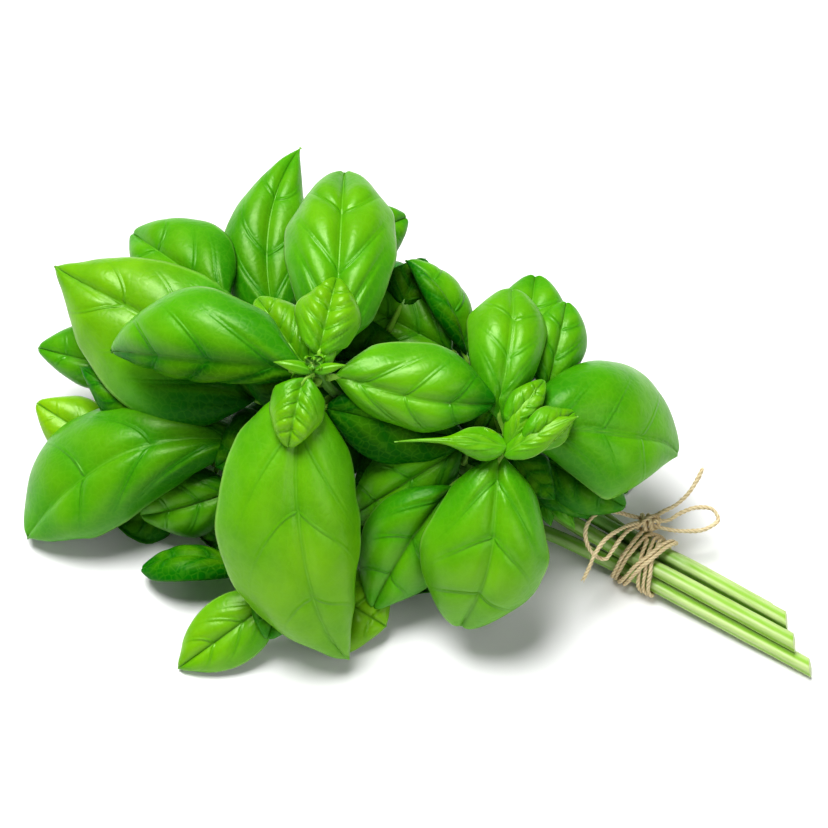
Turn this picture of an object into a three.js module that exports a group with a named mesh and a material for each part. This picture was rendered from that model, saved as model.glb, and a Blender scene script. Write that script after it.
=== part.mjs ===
// A bunch of fresh sweet basil, tied with jute twine and lying on a table.
//
// Millimetres, +Z up, the table at Z = 0. +X runs from the leafy head to the cut stem ends, and the
// origin is under the middle of the bunch, without its loose twine.
//
// Every leaf is one thin closed solid, blade and petiole together. The leaves are laid in order, from
// the table outwards, and each one is eased off those that it lies on, as soft leaves do.

import * as THREE from "three";

// ---------- Driving dimensions (millimetres and degrees) ----------

const BLADE_THICKNESS = 0.8;
const PETIOLE_RADIUS = 0.5; // of the shortest leaf's stalk
const PETIOLE_GROWTH = 0.008; // what a millimetre of blade adds to it
const STEM_RADIUS = 2.8; // at the cut ends
const SHOOT_RADIUS = 1.5; // at the end of a shoot
const TWINE_RADIUS = 0.85;
const TOUCH_GAP = 0.3; // between pieces that touch
const LEAF_GAP = 1.3; // air left between a leaf and what it lies on

// The show face of the bunch, which the leaf rosettes look out of: turned about Z, then leaning back.
const FACE_TURN = 32;
const FACE_LEAN = 30;
const FACE_HEIGHT = 40; // of the middle of that face, above the table

const TIE_X = 85; // along the bunch, in the layout's own frame
const TIE_WIDTH = 14;
const TIE_BUILD = 2.0; // thickness of the wound twine
const TIE_SLACK = 0.5; // between the wound twine and the stems

// ---------- Colours and roughness ----------

const LEAF_GREEN = "#4f9a1c";
const YOUNG_GREEN = "#7db53a";
const STEM_GREEN = "#a9cf6e";
const JUTE = "#b9a57c";
const LEAF_ROUGHNESS = 0.4;
const STEM_ROUGHNESS = 0.5;
const JUTE_ROUGHNESS = 0.9;

// ---------- Small helpers ----------

const radians = THREE.MathUtils.degToRad;
const table = (x, y, z) => new THREE.Vector3(x, y, z);

const faceMatrix = new THREE.Matrix4()
  .makeRotationZ(radians(FACE_TURN))
  .multiply(new THREE.Matrix4().makeRotationX(radians(FACE_LEAN)))
  .setPosition(0, 0, FACE_HEIGHT);
const tableToFace = faceMatrix.clone().invert();
const faceOut = new THREE.Vector3(0, 0, 1).transformDirection(faceMatrix);

// A place on the show face: across it, up it, and out of it.
const face = (across, up, out) => new THREE.Vector3(across, up, out).applyMatrix4(faceMatrix);

const along = (point, direction, distance) => point.clone().addScaledVector(direction, distance);
const squared = (direction, axis) => direction.clone().projectOnPlane(axis).normalize();

function material(color, roughness) {
  return new THREE.MeshStandardMaterial({ color, roughness, metalness: 0 });
}

// ---------- Leaf outlines: half width = t^base * (1 - t)^tip, scaled to the widest place ----------

const OVATE = { base: 0.65, tip: 0.8 };
const BLUNT = { base: 0.6, tip: 0.5 };
const POINTED = { base: 0.6, tip: 1.05 };
const TAPERED = { base: 0.6, tip: 2.3 };
const WIDE = { base: 0.45, tip: 0.7 };
const BROAD = { base: 0.55, tip: 0.85 };

function halfWidth(outline, width, t) {
  const shape = (s) => s ** outline.base * (1 - s) ** outline.tip;
  const widest = outline.base / (outline.base + outline.tip);
  return ((width / 2) * shape(t)) / shape(widest);
}

// ---------- Stems ----------

// Each stem's route from its cut end, through the tie, into the head. The five lie three below two.
const ROW_PITCH = 2 * STEM_RADIUS + TOUCH_GAP;
const LAYER_RISE = ROW_PITCH * Math.sin(radians(60));
const TIE_Y = 9.5;
const BUNDLE_SKEW = 0.03; // how far the bundle drifts to +Y along itself
const TIE_LIFT = TIE_BUILD + TIE_SLACK + 0.1; // the wound twine lies under the stems
const TIE_HOLD = 10; // how far to each side of the tie's middle the stems run straight
const TIE_FALL = 24; // where, towards the cut ends, they have begun to come down to the table

// A stem's place in the bundle, counted from the middle of the lower row.
const bundled = (x, across, layer, lift) =>
  table(
    x,
    TIE_Y + BUNDLE_SKEW * (x - TIE_X) + across * ROW_PITCH,
    STEM_RADIUS + lift + layer * LAYER_RISE,
  );

function bundleStretch(cutX, across, layer) {
  return [
    bundled(cutX, across, layer, 0),
    bundled(TIE_X + TIE_FALL, across, layer, 0.7 * TIE_LIFT),
    bundled(TIE_X + TIE_HOLD, across, layer, TIE_LIFT),
    bundled(TIE_X - TIE_HOLD, across, layer, TIE_LIFT),
  ];
}

const STEMS = {
  stem_front: [
    ...bundleStretch(142, -0.5, 1),
    table(48, 0, 26),
    table(22, -8, 38),
    table(0, -15, 54),
    table(-15, -22, 70),
    table(-21, -25, 86),
  ],
  stem_right: [
    ...bundleStretch(136, 0.5, 1),
    table(56, 6, 26),
    table(45, 1, 42),
    table(38, -5, 62),
  ],
  stem_upper: [
    ...bundleStretch(130, 1, 0),
    table(48, 15, 17),
    table(20, 12, 30),
    table(-12, 8, 42),
    table(-42, -1, 48),
  ],
  stem_lower: [
    ...bundleStretch(150, -1, 0),
    table(48, -4, 15),
    table(20, -16, 20),
    table(-20, -34, 24),
    table(-58, -44, 26),
  ],
  stem_back: [
    ...bundleStretch(133, 0, 0),
    table(48, 8, 11),
    table(20, 24, 14),
    table(-22, 34, 20),
    table(-58, 30, 22),
  ],
};

const STEM_STATIONS = 16;
const STEM_SIDES = 8;
const STEM_CORNER = 0.98; // of the radius, at the four rounded corners
const STEM_FLAT = 0.92; // of the radius, between them
const STEM_TAPER = 1.5;
const stemRadius = (t) => THREE.MathUtils.lerp(STEM_RADIUS, SHOOT_RADIUS, t ** STEM_TAPER);

const curves = {};
for (const [name, route] of Object.entries(STEMS)) {
  curves[name] = new THREE.CatmullRomCurve3(route, false, "centripetal");
}

// A basil stem is square with rounded corners.
function stemRings(curve) {
  const frames = curve.computeFrenetFrames(STEM_STATIONS, false);
  const rings = [];
  for (let i = 0; i <= STEM_STATIONS; i += 1) {
    const t = i / STEM_STATIONS;
    const centre = curve.getPointAt(t);
    const ring = [];
    for (let side = 0; side < STEM_SIDES; side += 1) {
      const angle = (side / STEM_SIDES) * 2 * Math.PI;
      const radius = stemRadius(t) * (side % 2 ? STEM_CORNER : STEM_FLAT);
      const point = along(centre, frames.normals[i], radius * Math.cos(angle));
      ring.push(point.addScaledVector(frames.binormals[i], radius * Math.sin(angle)));
    }
    rings.push(ring);
  }
  return { rings, start: curve.getPointAt(0), end: curve.getPointAt(1) };
}

const LEAFY_FROM = 0.45; // of a stem's length: below this no leaf grows
const NEAREST_STEPS = 66;

// The place on the leafy part of a stem nearest to a point.
function nearestOnStem(curve, point) {
  let best = null;
  for (let i = 0; i <= NEAREST_STEPS; i += 1) {
    const t = THREE.MathUtils.lerp(LEAFY_FROM, 1, i / NEAREST_STEPS);
    const place = curve.getPointAt(t);
    const distance = place.distanceTo(point);
    if (!best || distance < best.distance) {
      best = { t, place, distance };
    }
  }
  return best;
}

// ---------- Leaves ----------

const BLADE_STEPS = [0.03, 0.1, 0.2, 0.32, 0.45, 0.58, 0.71, 0.83, 0.93];
const PETIOLE_STEPS = [0, 0.33, 0.66, 0.92];
const ACROSS_STEPS = [1, 0.55, 0, -0.55, -1];
const LEAF_SIDES = 8;

// Angles in degrees. roll turns the upper side away from looking straight out of the show face, arch and
// sweep are how far the midrib bows up and to the left, fold is how steeply the halves rise from the
// midrib, crown is how far they roll over again by the rim, petiole is how far behind the blade's base
// the leaf joins its stem, and at overrides it with a place along the stem, from 0 to 1.
const LEAF_DEFAULTS = {
  outline: OVATE,
  color: LEAF_GREEN,
  roll: 0,
  arch: 6,
  sweep: 0,
  fold: 8,
  crown: 45,
  petiole: 9,
  at: null,
};

const petioleRadius = (length) => PETIOLE_RADIUS + PETIOLE_GROWTH * length;

// The blade's midrib and its axes: heading to the tip, side to the left, normal out of the upper side.
function bladeAxes(leaf, t) {
  const chord = leaf.tip.clone().sub(leaf.base);
  const length = chord.length();
  const forward = chord.clone().divideScalar(length);
  const up = squared(faceOut, forward).applyAxisAngle(forward, radians(leaf.roll));
  const left = up.clone().cross(forward);
  const bow = 4 * t * (1 - t);
  const slope = (4 * (1 - 2 * t)) / length;
  const point = along(leaf.base, forward, t * length)
    .addScaledVector(up, leaf.arch * bow)
    .addScaledVector(left, leaf.sweep * bow);
  const heading = forward
    .clone()
    .addScaledVector(up, leaf.arch * slope)
    .addScaledVector(left, leaf.sweep * slope)
    .normalize();
  const side = squared(left, heading);
  return { point, heading, side, normal: heading.clone().cross(side), length };
}

// The blade across itself: each half rises from the midrib at the fold angle, then rolls over.
function bladeRing(leaf, t) {
  const { point, side, normal } = bladeAxes(leaf, t);
  const half = halfWidth(leaf.outline, leaf.width, t);
  const fold = radians(leaf.fold);
  const crown = radians(leaf.crown);
  const top = [];
  const bottom = [];
  for (const place of ACROSS_STEPS) {
    const turn = fold - crown * Math.abs(place);
    const reach = (half / crown) * (Math.sin(fold) - Math.sin(turn)) * Math.sign(place);
    const height = (half / crown) * (Math.cos(turn) - Math.cos(fold));
    const middle = along(point, side, reach).addScaledVector(normal, height);
    const out = normal
      .clone()
      .multiplyScalar(Math.cos(turn))
      .addScaledVector(side, -Math.sin(turn) * Math.sign(place));
    const skin = Math.abs(place) === 1 ? 0 : BLADE_THICKNESS / 2;
    top.push(along(middle, out, skin));
    bottom.push(along(middle, out, -skin));
  }
  return [...top, bottom[3], bottom[2], bottom[1]];
}

const CHANNEL_SIDE = 2; // the petiole's uppermost corner, which lies deeper than the others
const CHANNEL_REACH = 0.5;

// The petiole is round with a channel along its upper side.
function petioleRing(centre, forward, left, radius) {
  const side = squared(left, forward);
  const up = forward.clone().cross(side);
  return Array.from({ length: LEAF_SIDES }, (_, i) => {
    const angle = (i / LEAF_SIDES) * 2 * Math.PI;
    const reach = i === CHANNEL_SIDE ? CHANNEL_REACH * radius : radius;
    return along(centre, side, reach * Math.cos(angle)).addScaledVector(up, reach * Math.sin(angle));
  });
}

// Where a leaf joins its stem.
function jointOf(leaf, heading) {
  const curve = curves[leaf.stem];
  if (leaf.at !== null) {
    return { t: leaf.at, place: curve.getPointAt(leaf.at) };
  }
  return nearestOnStem(curve, along(leaf.base, heading, -leaf.petiole));
}

const PETIOLE_EASE = 0.4; // of its length, over which the petiole bends at each end

function leafRings(leaf) {
  const start = bladeAxes(leaf, 0);
  const radius = petioleRadius(start.length);
  const joint = jointOf(leaf, start.heading);
  const axis = curves[leaf.stem].getTangentAt(joint.t);
  const outward = squared(leaf.base.clone().sub(joint.place), axis);
  const foot = along(joint.place, outward, stemRadius(joint.t) + TOUCH_GAP);
  const reach = PETIOLE_EASE * foot.distanceTo(leaf.base);
  const route = new THREE.CubicBezierCurve3(
    foot,
    along(foot, outward, reach),
    along(leaf.base, start.heading, -reach),
    leaf.base,
  );
  const petiole = PETIOLE_STEPS.map((t) =>
    petioleRing(route.getPoint(t), route.getTangent(t), start.side, radius),
  );
  const blade = BLADE_STEPS.map((t) => bladeRing(leaf, t));
  return { rings: [...petiole, ...blade], start: foot, end: leaf.tip.clone() };
}

const RIM_POINTS = [0, 4];
const UPPER_AND_LOWER = [[1, 7], [2, 6], [3, 5]];

// A leaf that droops as far as the table lies flat on it.
function restOnTable({ rings, end }) {
  const rimHeight = BLADE_THICKNESS / 2;
  end.z = Math.max(end.z, rimHeight);
  for (const ring of rings) {
    for (const rim of RIM_POINTS) {
      ring[rim].z = Math.max(ring[rim].z, rimHeight);
    }
    for (const [upper, lower] of UPPER_AND_LOWER) {
      const rise = Math.max(0, -ring[lower].z);
      ring[lower].z += rise;
      ring[upper].z += rise;
    }
  }
}

// ---------- Laying the leaves on each other ----------

// The height of what has been laid so far, out of the show face, on a square grid.
const GRID_STEP = 1.5;
const GRID_REACH = 160;
const GRID_SIDE = Math.ceil((2 * GRID_REACH) / GRID_STEP);
const laidHeight = new Float32Array(GRID_SIDE * GRID_SIDE).fill(-Infinity);
const SMALLEST_AREA = 1e-6;

// Calls visit(cell, height) for each grid cell under a triangle seen from out of the face.
function overCells([a, b, c], visit) {
  const area = (b.x - a.x) * (c.y - a.y) - (c.x - a.x) * (b.y - a.y);
  if (Math.abs(area) < SMALLEST_AREA) {
    return;
  }
  const first = (low) => Math.ceil((low + GRID_REACH) / GRID_STEP);
  const last = (high) => Math.floor((high + GRID_REACH) / GRID_STEP);
  for (let i = first(Math.min(a.x, b.x, c.x)); i <= last(Math.max(a.x, b.x, c.x)); i += 1) {
    for (let j = first(Math.min(a.y, b.y, c.y)); j <= last(Math.max(a.y, b.y, c.y)); j += 1) {
      const x = i * GRID_STEP - GRID_REACH;
      const y = j * GRID_STEP - GRID_REACH;
      const u = ((x - a.x) * (c.y - a.y) - (c.x - a.x) * (y - a.y)) / area;
      const v = ((b.x - a.x) * (y - a.y) - (x - a.x) * (b.y - a.y)) / area;
      if (u >= 0 && v >= 0 && u + v <= 1) {
        visit(i * GRID_SIDE + j, a.z + u * (b.z - a.z) + v * (c.z - a.z));
      }
    }
  }
}

// A solid's points, and its triangles between rings and in the fans that close both ends.
function lofted({ rings, start, end }) {
  const sides = rings[0].length;
  const points = [...rings.flat(), start, end];
  const startIndex = points.length - 2;
  const endIndex = points.length - 1;
  const faces = [];
  for (let side = 0; side < sides; side += 1) {
    const next = (side + 1) % sides;
    for (let i = 0; i + 1 < rings.length; i += 1) {
      const here = i * sides;
      const there = here + sides;
      faces.push([here + side, here + next, there + next], [here + side, there + next, there + side]);
    }
    const last = (rings.length - 1) * sides;
    faces.push([startIndex, next, side], [endIndex, last + side, last + next]);
  }
  return { points, faces };
}

const seenFromFace = (points) => points.map((point) => point.clone().applyMatrix4(tableToFace));

function recordLaid(solid) {
  const { points, faces } = lofted(solid);
  const seen = seenFromFace(points);
  for (const corners of faces) {
    overCells(corners.map((corner) => seen[corner]), (cell, height) => {
      laidHeight[cell] = Math.max(laidHeight[cell], height);
    });
  }
}

// A leaf is eased in columns: five across each ring, with the lower side moving with the upper side
// over it, and one more at the tip. The foot's centre belongs to no column.
const EASE_SLOPE = 0.3; // how steeply an eased leaf may bend away from its first shape
const EASE_ROUNDS = 14;
const EASE_ENOUGH = 0.01;
const COLUMN_OF = [0, 1, 2, 3, 4, 3, 2, 1];
const COLUMNS = 5;
const HELD_COLUMNS = 2 * COLUMNS; // the petiole's first two rings stay where they are

function columnsOf({ rings, end }) {
  const places = rings.flatMap((ring) => ring.slice(0, COLUMNS));
  const ofRings = rings.flatMap((_, row) => COLUMN_OF.map((column) => row * COLUMNS + column));
  const ofTip = places.length;
  return { places: [...places, end], owner: [...ofRings, -1, ofTip] };
}

// How far each column still has to rise for its triangles to clear what is laid.
function stillLacking(faces, owner, seen, ease) {
  const lacking = new Float32Array(ease.length);
  for (const corners of faces) {
    if (corners.some((corner) => owner[corner] < HELD_COLUMNS)) {
      continue;
    }
    const raised = corners.map((corner) => seen[corner].clone().setZ(seen[corner].z + ease[owner[corner]]));
    overCells(raised, (cell, height) => {
      for (const corner of corners) {
        const lack = laidHeight[cell] + LEAF_GAP - height;
        lacking[owner[corner]] = Math.max(lacking[owner[corner]], lack);
      }
    });
  }
  return lacking;
}

// A column that rises takes its neighbours with it, as far as the blade is stiff.
function spreadEase(ease, places) {
  for (let i = 0; i < places.length; i += 1) {
    for (let j = 0; j < places.length; j += 1) {
      const carried = ease[j] - EASE_SLOPE * places[i].distanceTo(places[j]);
      ease[i] = Math.max(ease[i], carried);
    }
  }
}

function moveByEase({ rings, end }, ease) {
  rings.forEach((ring, row) => {
    const own = ease.subarray(row * COLUMNS, (row + 1) * COLUMNS);
    const grip = PETIOLE_STEPS[row];
    ring.forEach((point, side) => {
      const amount = grip === undefined ? own[COLUMN_OF[side]] : grip * Math.max(...own);
      point.addScaledVector(faceOut, amount);
    });
  });
  end.addScaledVector(faceOut, ease.at(-1));
}

// Moves a leaf out of the face, where it has to, until it is clear of what is laid.
function easeLeaf(solid) {
  const { points, faces } = lofted(solid);
  const { places, owner } = columnsOf(solid);
  const seen = seenFromFace(points);
  const ease = new Float32Array(places.length);
  for (let round = 0; round < EASE_ROUNDS; round += 1) {
    const lacking = stillLacking(faces, owner, seen, ease);
    if (Math.max(...lacking) <= EASE_ENOUGH) {
      break;
    }
    lacking.forEach((lack, i) => {
      ease[i] += lack;
    });
    spreadEase(ease, places);
  }
  moveByEase(solid, ease);
}

// ---------- The leaves, in the order they are laid ----------

const leaf = (name, stem, base, tip, width, shape = {}) => ({
  ...LEAF_DEFAULTS,
  name: "leaf_" + name,
  stem: "stem_" + stem,
  base,
  tip,
  width,
  ...shape,
});

// Leaves on the table side and the far side, spread round the head.
const DROOP = -7; // how far under the table these would hang if it were not there
const UNDER_LEAVES = [
  leaf("under_1", "back", table(8, 40, 12), table(-4, 60, DROOP), 34, { arch: 7 }),
  leaf("under_2", "back", table(-26, 44, 16), table(-60, 54, DROOP), 36, { arch: 8 }),
  leaf("under_3", "back", table(-54, 40, 18), table(-86, 50, DROOP), 40, { arch: 8 }),
  leaf("under_4", "back", table(-74, 16, 20), table(-114, 14, DROOP), 42, { arch: 8 }),
  leaf("under_5", "lower", table(-70, -34, 20), table(-97, -22, DROOP), 30, { arch: 5 }),
  leaf("under_6", "lower", table(-56, -58, 9), table(-80, -67, DROOP), 24, { arch: 4 }),
  leaf("under_7", "lower", table(-30, -46, 14), table(-47, -59, DROOP), 27, { arch: 5 }),
  leaf("under_8", "lower", table(18, -26, 12), table(34, -31, DROOP), 26, { arch: 4 }),
  leaf("under_9", "upper", table(52, 30, 7), table(62, 46, DROOP), 26, { arch: 4 }),
];

// Leaves half way up the far side.
const FAR_LEAVES = [
  leaf("far_1", "upper", table(-8, 26, 30), table(-34, 44, 26), 32, { arch: 6 }),
  leaf("far_2", "upper", table(-34, 28, 34), table(-66, 46, 32), 36, { arch: 8 }),
  leaf("far_3", "upper", table(-60, 10, 36), table(-98, 22, 26), 36, { arch: 8 }),
];

// A broad leaf deep inside the head.
const INNER_LEAVES = [
  leaf("inner_2", "upper", face(4, 14, 0), face(-27, 20, 0), 26, { arch: 3, outline: WIDE }),
];

// Outer leaves behind the rosettes, from the left round to the lower edge.
const OUTER_LEAVES = [
  leaf("lower_1", "lower", face(-102, -12, -22), face(-128, 4, -28), 24, { arch: 2 }),
  leaf("lower_2", "lower", face(-91, 13, -18), face(-128, 22.5, -30), 30, { arch: 3, at: 0.97 }),
  leaf("lower_3", "lower", face(-59, -25, -6), face(-92, -34, -14), 28, { arch: 4, roll: -15 }),
  leaf("lower_4", "lower", face(-56, -52, -5), face(-91, -52, -10), 24, { roll: 55, outline: BLUNT }),
  leaf("upper_1", "upper", face(-24, 56, -8), face(-2, 66, -18), 27, {
    arch: 3,
    outline: WIDE,
    at: 0.88,
  }),
  leaf("upper_2", "upper", face(-46, 31, -2), face(-38, 91, -28), 34, {
    outline: POINTED,
    sweep: 6.5,
    arch: 4,
    at: 1,
  }),
  leaf("upper_3", "upper", face(-62, 36, 2), face(-93, 62, -25), 30, { arch: 5, at: 0.95 }),
  leaf("upper_4", "upper", face(12, 21, -2), face(-21, 38, -10), 34, { arch: -3, crown: 5 }),
  leaf("lower_5", "lower", face(-56, -9, 2), face(-132, -36, -16), 54, {
    roll: 25,
    arch: 13,
    sweep: -8,
    crown: 70,
    outline: BLUNT,
  }),
];

const PIECES_IN_ORDER = [
  ...UNDER_LEAVES,
  "stem_back",
  "stem_lower",
  ...FAR_LEAVES,
  "stem_upper",
  ...INNER_LEAVES,
  ...OUTER_LEAVES,
  leaf("inner_1", "lower", face(-58, -5, -12), face(-8, -12, -10), 38, {
    arch: 3,
    outline: WIDE,
    at: 0.9,
  }),
  "stem_front",
  leaf("front_1", "front", face(15, -11, 14), face(-23, -35, 2), 32, { arch: 4 }),
  leaf("lower_6", "lower", face(-45, -60, 8), face(-78, -84, 4), 24, { arch: 3, crown: 25 }),
  leaf("lower_7", "lower", face(-40, -50, 10), face(-48, -74, 10), 24, { arch: 3 }),
  leaf("lower_8", "lower", face(-26, -60, 0), face(-9, -70, 3), 35, { arch: 1, crown: 15, outline: WIDE }),
  "stem_right",
  leaf("right_1", "right", face(12, -24, 10), face(-14, -65, -2), 36, { arch: 5, sweep: -2, crown: 50 }),
  leaf("front_2", "front", face(-28, 2, 27), face(19, -9, 20), 30, { arch: 4 }),
  leaf("right_10", "right", face(43, -15, 14), face(70, -31, 3), 24, { arch: 3 }),
  leaf("right_2", "right", face(35, 10, 17), face(40, 46, 2), 30, { arch: 4, outline: BLUNT }),
  leaf("right_3", "right", face(43, 7, 15), face(50, 37, 6), 22, { arch: 4, outline: BLUNT }),
  leaf("upper_5", "upper", face(-52, 5, 10), face(-121, 50, -12), 54, {
    arch: 5,
    sweep: 1,
    crown: 30,
    outline: BROAD,
  }),
  leaf("upper_6", "upper", face(17, 20, 10), face(-3, 51, 6), 36, { roll: 45, crown: 75 }),
  leaf("right_4", "right", face(38, -7, 30), face(87, -13, 5), 60, {
    roll: -24,
    arch: 11,
    sweep: 7,
    crown: 70,
    outline: BLUNT,
  }),
  leaf("right_5", "right", face(27, 2, 32), face(32, 41, 14), 28, { outline: BLUNT, crown: 50 }),
  leaf("right_6", "right", face(27, -16, 32), face(15, -71, 12), 45, {
    arch: 10,
    sweep: 1.5,
    crown: 55,
    outline: BLUNT,
  }),
  leaf("front_3", "front", face(-36, 17, 34), face(-51, 38, 22), 22, { arch: 3, color: YOUNG_GREEN }),
  leaf("front_4", "front", face(-25, 24, 40), face(-22.7, 80.5, 6), 41, {
    arch: 9,
    crown: 50,
    outline: BLUNT,
  }),
  leaf("front_5", "front", face(-40, 14, 40), face(-100, 20, 12), 50, {
    roll: -24,
    arch: 9,
    sweep: -7,
    fold: 5,
    crown: 85,
  }),
  leaf("front_6", "front", face(-23, 11.5, 39), face(27, 3, 22), 37, { roll: 4, arch: 8, crown: 55 }),
  leaf("front_7", "front", face(-35, 5, 40), face(-21, -81, 8), 50, { arch: 12, sweep: -13, crown: 50 }),
  leaf("right_7", "right", face(30, -3, 38), face(42, 11, 33), 13, { arch: 3, color: YOUNG_GREEN }),
  leaf("right_8", "right", face(35, -9, 37), face(52, 1, 33), 14, { arch: 3, color: YOUNG_GREEN }),
  leaf("right_9", "right", face(23, -7, 38.5), face(-5, -8, 34), 14, {
    outline: TAPERED,
    color: YOUNG_GREEN,
    arch: 3,
  }),
  leaf("front_8", "front", face(-30, 20, 46), face(-24.5, 44, 38), 24, { arch: 3, color: YOUNG_GREEN }),
  leaf("front_9", "front", face(-35.5, 9.5, 46), face(-40, -11, 44), 20, {
    outline: WIDE,
    color: YOUNG_GREEN,
    arch: 3,
  }),
];

// ---------- Twine ----------

// The four outer stems of the bundle, seen along it: their centres round the outside.
const BUNDLE_CORNERS = [
  new THREE.Vector2(-ROW_PITCH, 0),
  new THREE.Vector2(ROW_PITCH, 0),
  new THREE.Vector2(ROW_PITCH / 2, LAYER_RISE),
  new THREE.Vector2(-ROW_PITCH / 2, LAYER_RISE),
];
const CORNER_STEPS = 3;
const FULL_TURN = 2 * Math.PI;

// The direction that the bundle's side after a corner faces.
function outwardAfter(corner) {
  const count = BUNDLE_CORNERS.length;
  const from = BUNDLE_CORNERS[corner % count];
  const to = BUNDLE_CORNERS[(corner + 1) % count];
  return Math.atan2(from.x - to.x, to.y - from.y);
}

// A line drawn round the bundle at a distance from the stems' centres.
function bundleOutline(distance) {
  const outline = [];
  const count = BUNDLE_CORNERS.length;
  for (let i = 0; i < count; i += 1) {
    const arriving = outwardAfter(i + count - 1);
    const turn = (outwardAfter(i) - arriving + 2 * FULL_TURN) % FULL_TURN;
    for (let step = 0; step <= CORNER_STEPS; step += 1) {
      const angle = arriving + (turn * step) / CORNER_STEPS;
      const reach = new THREE.Vector2(Math.cos(angle), Math.sin(angle)).multiplyScalar(distance);
      outline.push(reach.add(BUNDLE_CORNERS[i]));
    }
  }
  return outline;
}

function woundTwine() {
  const inside = STEM_RADIUS + TIE_SLACK;
  const section = new THREE.Shape(bundleOutline(inside + TIE_BUILD));
  section.holes.push(new THREE.Path(bundleOutline(inside)));
  const geometry = new THREE.ExtrudeGeometry(section, { depth: TIE_WIDTH, bevelEnabled: false });
  const mesh = new THREE.Mesh(geometry, material(JUTE, JUTE_ROUGHNESS));
  mesh.name = "twine_wraps";
  // The section is drawn across the bunch and up, and runs along it.
  mesh.rotation.set(Math.PI / 2, Math.PI / 2, 0);
  mesh.position.copy(bundled(TIE_X - TIE_WIDTH / 2, 0, 0, TIE_LIFT));
  return mesh;
}

const KNOT_CENTRE = table(80, 18.3, 15.6);
const KNOT_RADII = table(4.4, 2.6, 2.6);
const KNOT_MERIDIANS = 10;
const KNOT_PARALLELS = 6;

function knot() {
  const geometry = new THREE.SphereGeometry(1, KNOT_MERIDIANS, KNOT_PARALLELS);
  geometry.scale(...KNOT_RADII.toArray());
  const mesh = new THREE.Mesh(geometry, material(JUTE, JUTE_ROUGHNESS));
  mesh.name = "twine_knot";
  mesh.position.copy(KNOT_CENTRE);
  return mesh;
}

// The bow's two loops and two ends, on the show face.
const TWINE_ROUTES = {
  twine_loop_right: [
    face(84, -35.2, -4),
    face(88, -33, -5),
    face(94, -31, -6),
    face(99.5, -32, -7),
    face(101, -35, -7),
    face(97.5, -37.8, -6),
    face(90, -38.8, -5),
    face(84, -38.2, -4.5),
  ],
  twine_end_right: [
    face(83, -32, -4),
    face(86, -30.5, -4),
    face(90.5, -26.5, -3),
    face(93.7, -21.5, -2),
    face(95.3, -18, -1),
  ],
  twine_loop_left: [
    face(71, -33.5, -3),
    face(67.5, -32.5, -1),
    face(62, -32, 2),
    face(58, -34.5, 4),
    face(56.3, -38.5, 5),
    face(56.8, -42.5, 6),
    face(59.5, -46.5, 6.5),
    face(62.8, -47.6, 6),
    face(65, -45, 5),
    face(67.5, -41.5, 4),
  ],
  twine_end_left: [
    face(71.5, -36.5, 0),
    face(67.5, -38, 5),
    face(62.2, -41.5, 9),
    face(59.2, -45.7, 10),
    face(57.3, -50.3, 8),
    face(55.6, -54.3, 6),
  ],
};

const TWINE_SIDES = 8;
const TWINE_STEP = 4 * TWINE_RADIUS; // two diameters

function twineLength(name, route) {
  const curve = new THREE.CatmullRomCurve3(route, false, "centripetal");
  const corners = Array.from({ length: TWINE_SIDES }, (_, side) => {
    const angle = (side / TWINE_SIDES) * FULL_TURN;
    return new THREE.Vector2(Math.cos(angle), Math.sin(angle)).multiplyScalar(TWINE_RADIUS);
  });
  const steps = Math.round(curve.getLength() / TWINE_STEP);
  const geometry = new THREE.ExtrudeGeometry(new THREE.Shape(corners), { steps, extrudePath: curve });
  const mesh = new THREE.Mesh(geometry, material(JUTE, JUTE_ROUGHNESS));
  mesh.name = name;
  return mesh;
}

// ---------- Shoot tips ----------

// The closed tip of a shoot, its youngest leaves still folded together: radius and height.
const BUD_PROFILE = [[0, 0], [1.3, 0.4], [1.9, 1.8], [1.5, 3.6], [0.7, 5.2], [0, 6]];
const BUD_SIDES = 8;

function bud(name, curve) {
  const profile = BUD_PROFILE.map(([radius, height]) => new THREE.Vector2(radius, height));
  const geometry = new THREE.LatheGeometry(profile, BUD_SIDES);
  const mesh = new THREE.Mesh(geometry, material(YOUNG_GREEN, LEAF_ROUGHNESS));
  const heading = curve.getTangentAt(1);
  mesh.name = name;
  mesh.quaternion.setFromUnitVectors(new THREE.Vector3(0, 1, 0), heading);
  mesh.position.copy(along(curve.getPointAt(1), heading, TOUCH_GAP));
  return mesh;
}

// ---------- Assembly ----------

// A mesh of rings closed at both ends, placed by its anchor.
function solidMesh(name, solid, look, anchor) {
  const { points, faces } = lofted(solid);
  const positions = points.flatMap((point) => point.clone().sub(anchor).toArray());
  const geometry = new THREE.BufferGeometry();
  geometry.setAttribute("position", new THREE.Float32BufferAttribute(positions, 3));
  geometry.setIndex(faces.flat());
  geometry.computeVertexNormals();
  const mesh = new THREE.Mesh(geometry, look);
  mesh.name = name;
  mesh.position.copy(anchor);
  return mesh;
}

function laidStem(name) {
  const solid = stemRings(curves[name]);
  recordLaid(solid);
  return solidMesh(name, solid, material(STEM_GREEN, STEM_ROUGHNESS), solid.start);
}

function laidLeaf(piece) {
  const solid = leafRings(piece);
  restOnTable(solid);
  easeLeaf(solid);
  recordLaid(solid);
  return solidMesh(piece.name, solid, material(piece.color, LEAF_ROUGHNESS), piece.base);
}

// Puts the origin under the middle of the meshes that are in the group so far.
function centreOnTable(group) {
  const box = new THREE.Box3().setFromObject(group, true);
  const middle = box.getCenter(new THREE.Vector3());
  group.position.set(-middle.x, -middle.y, -box.min.z);
}

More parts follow.
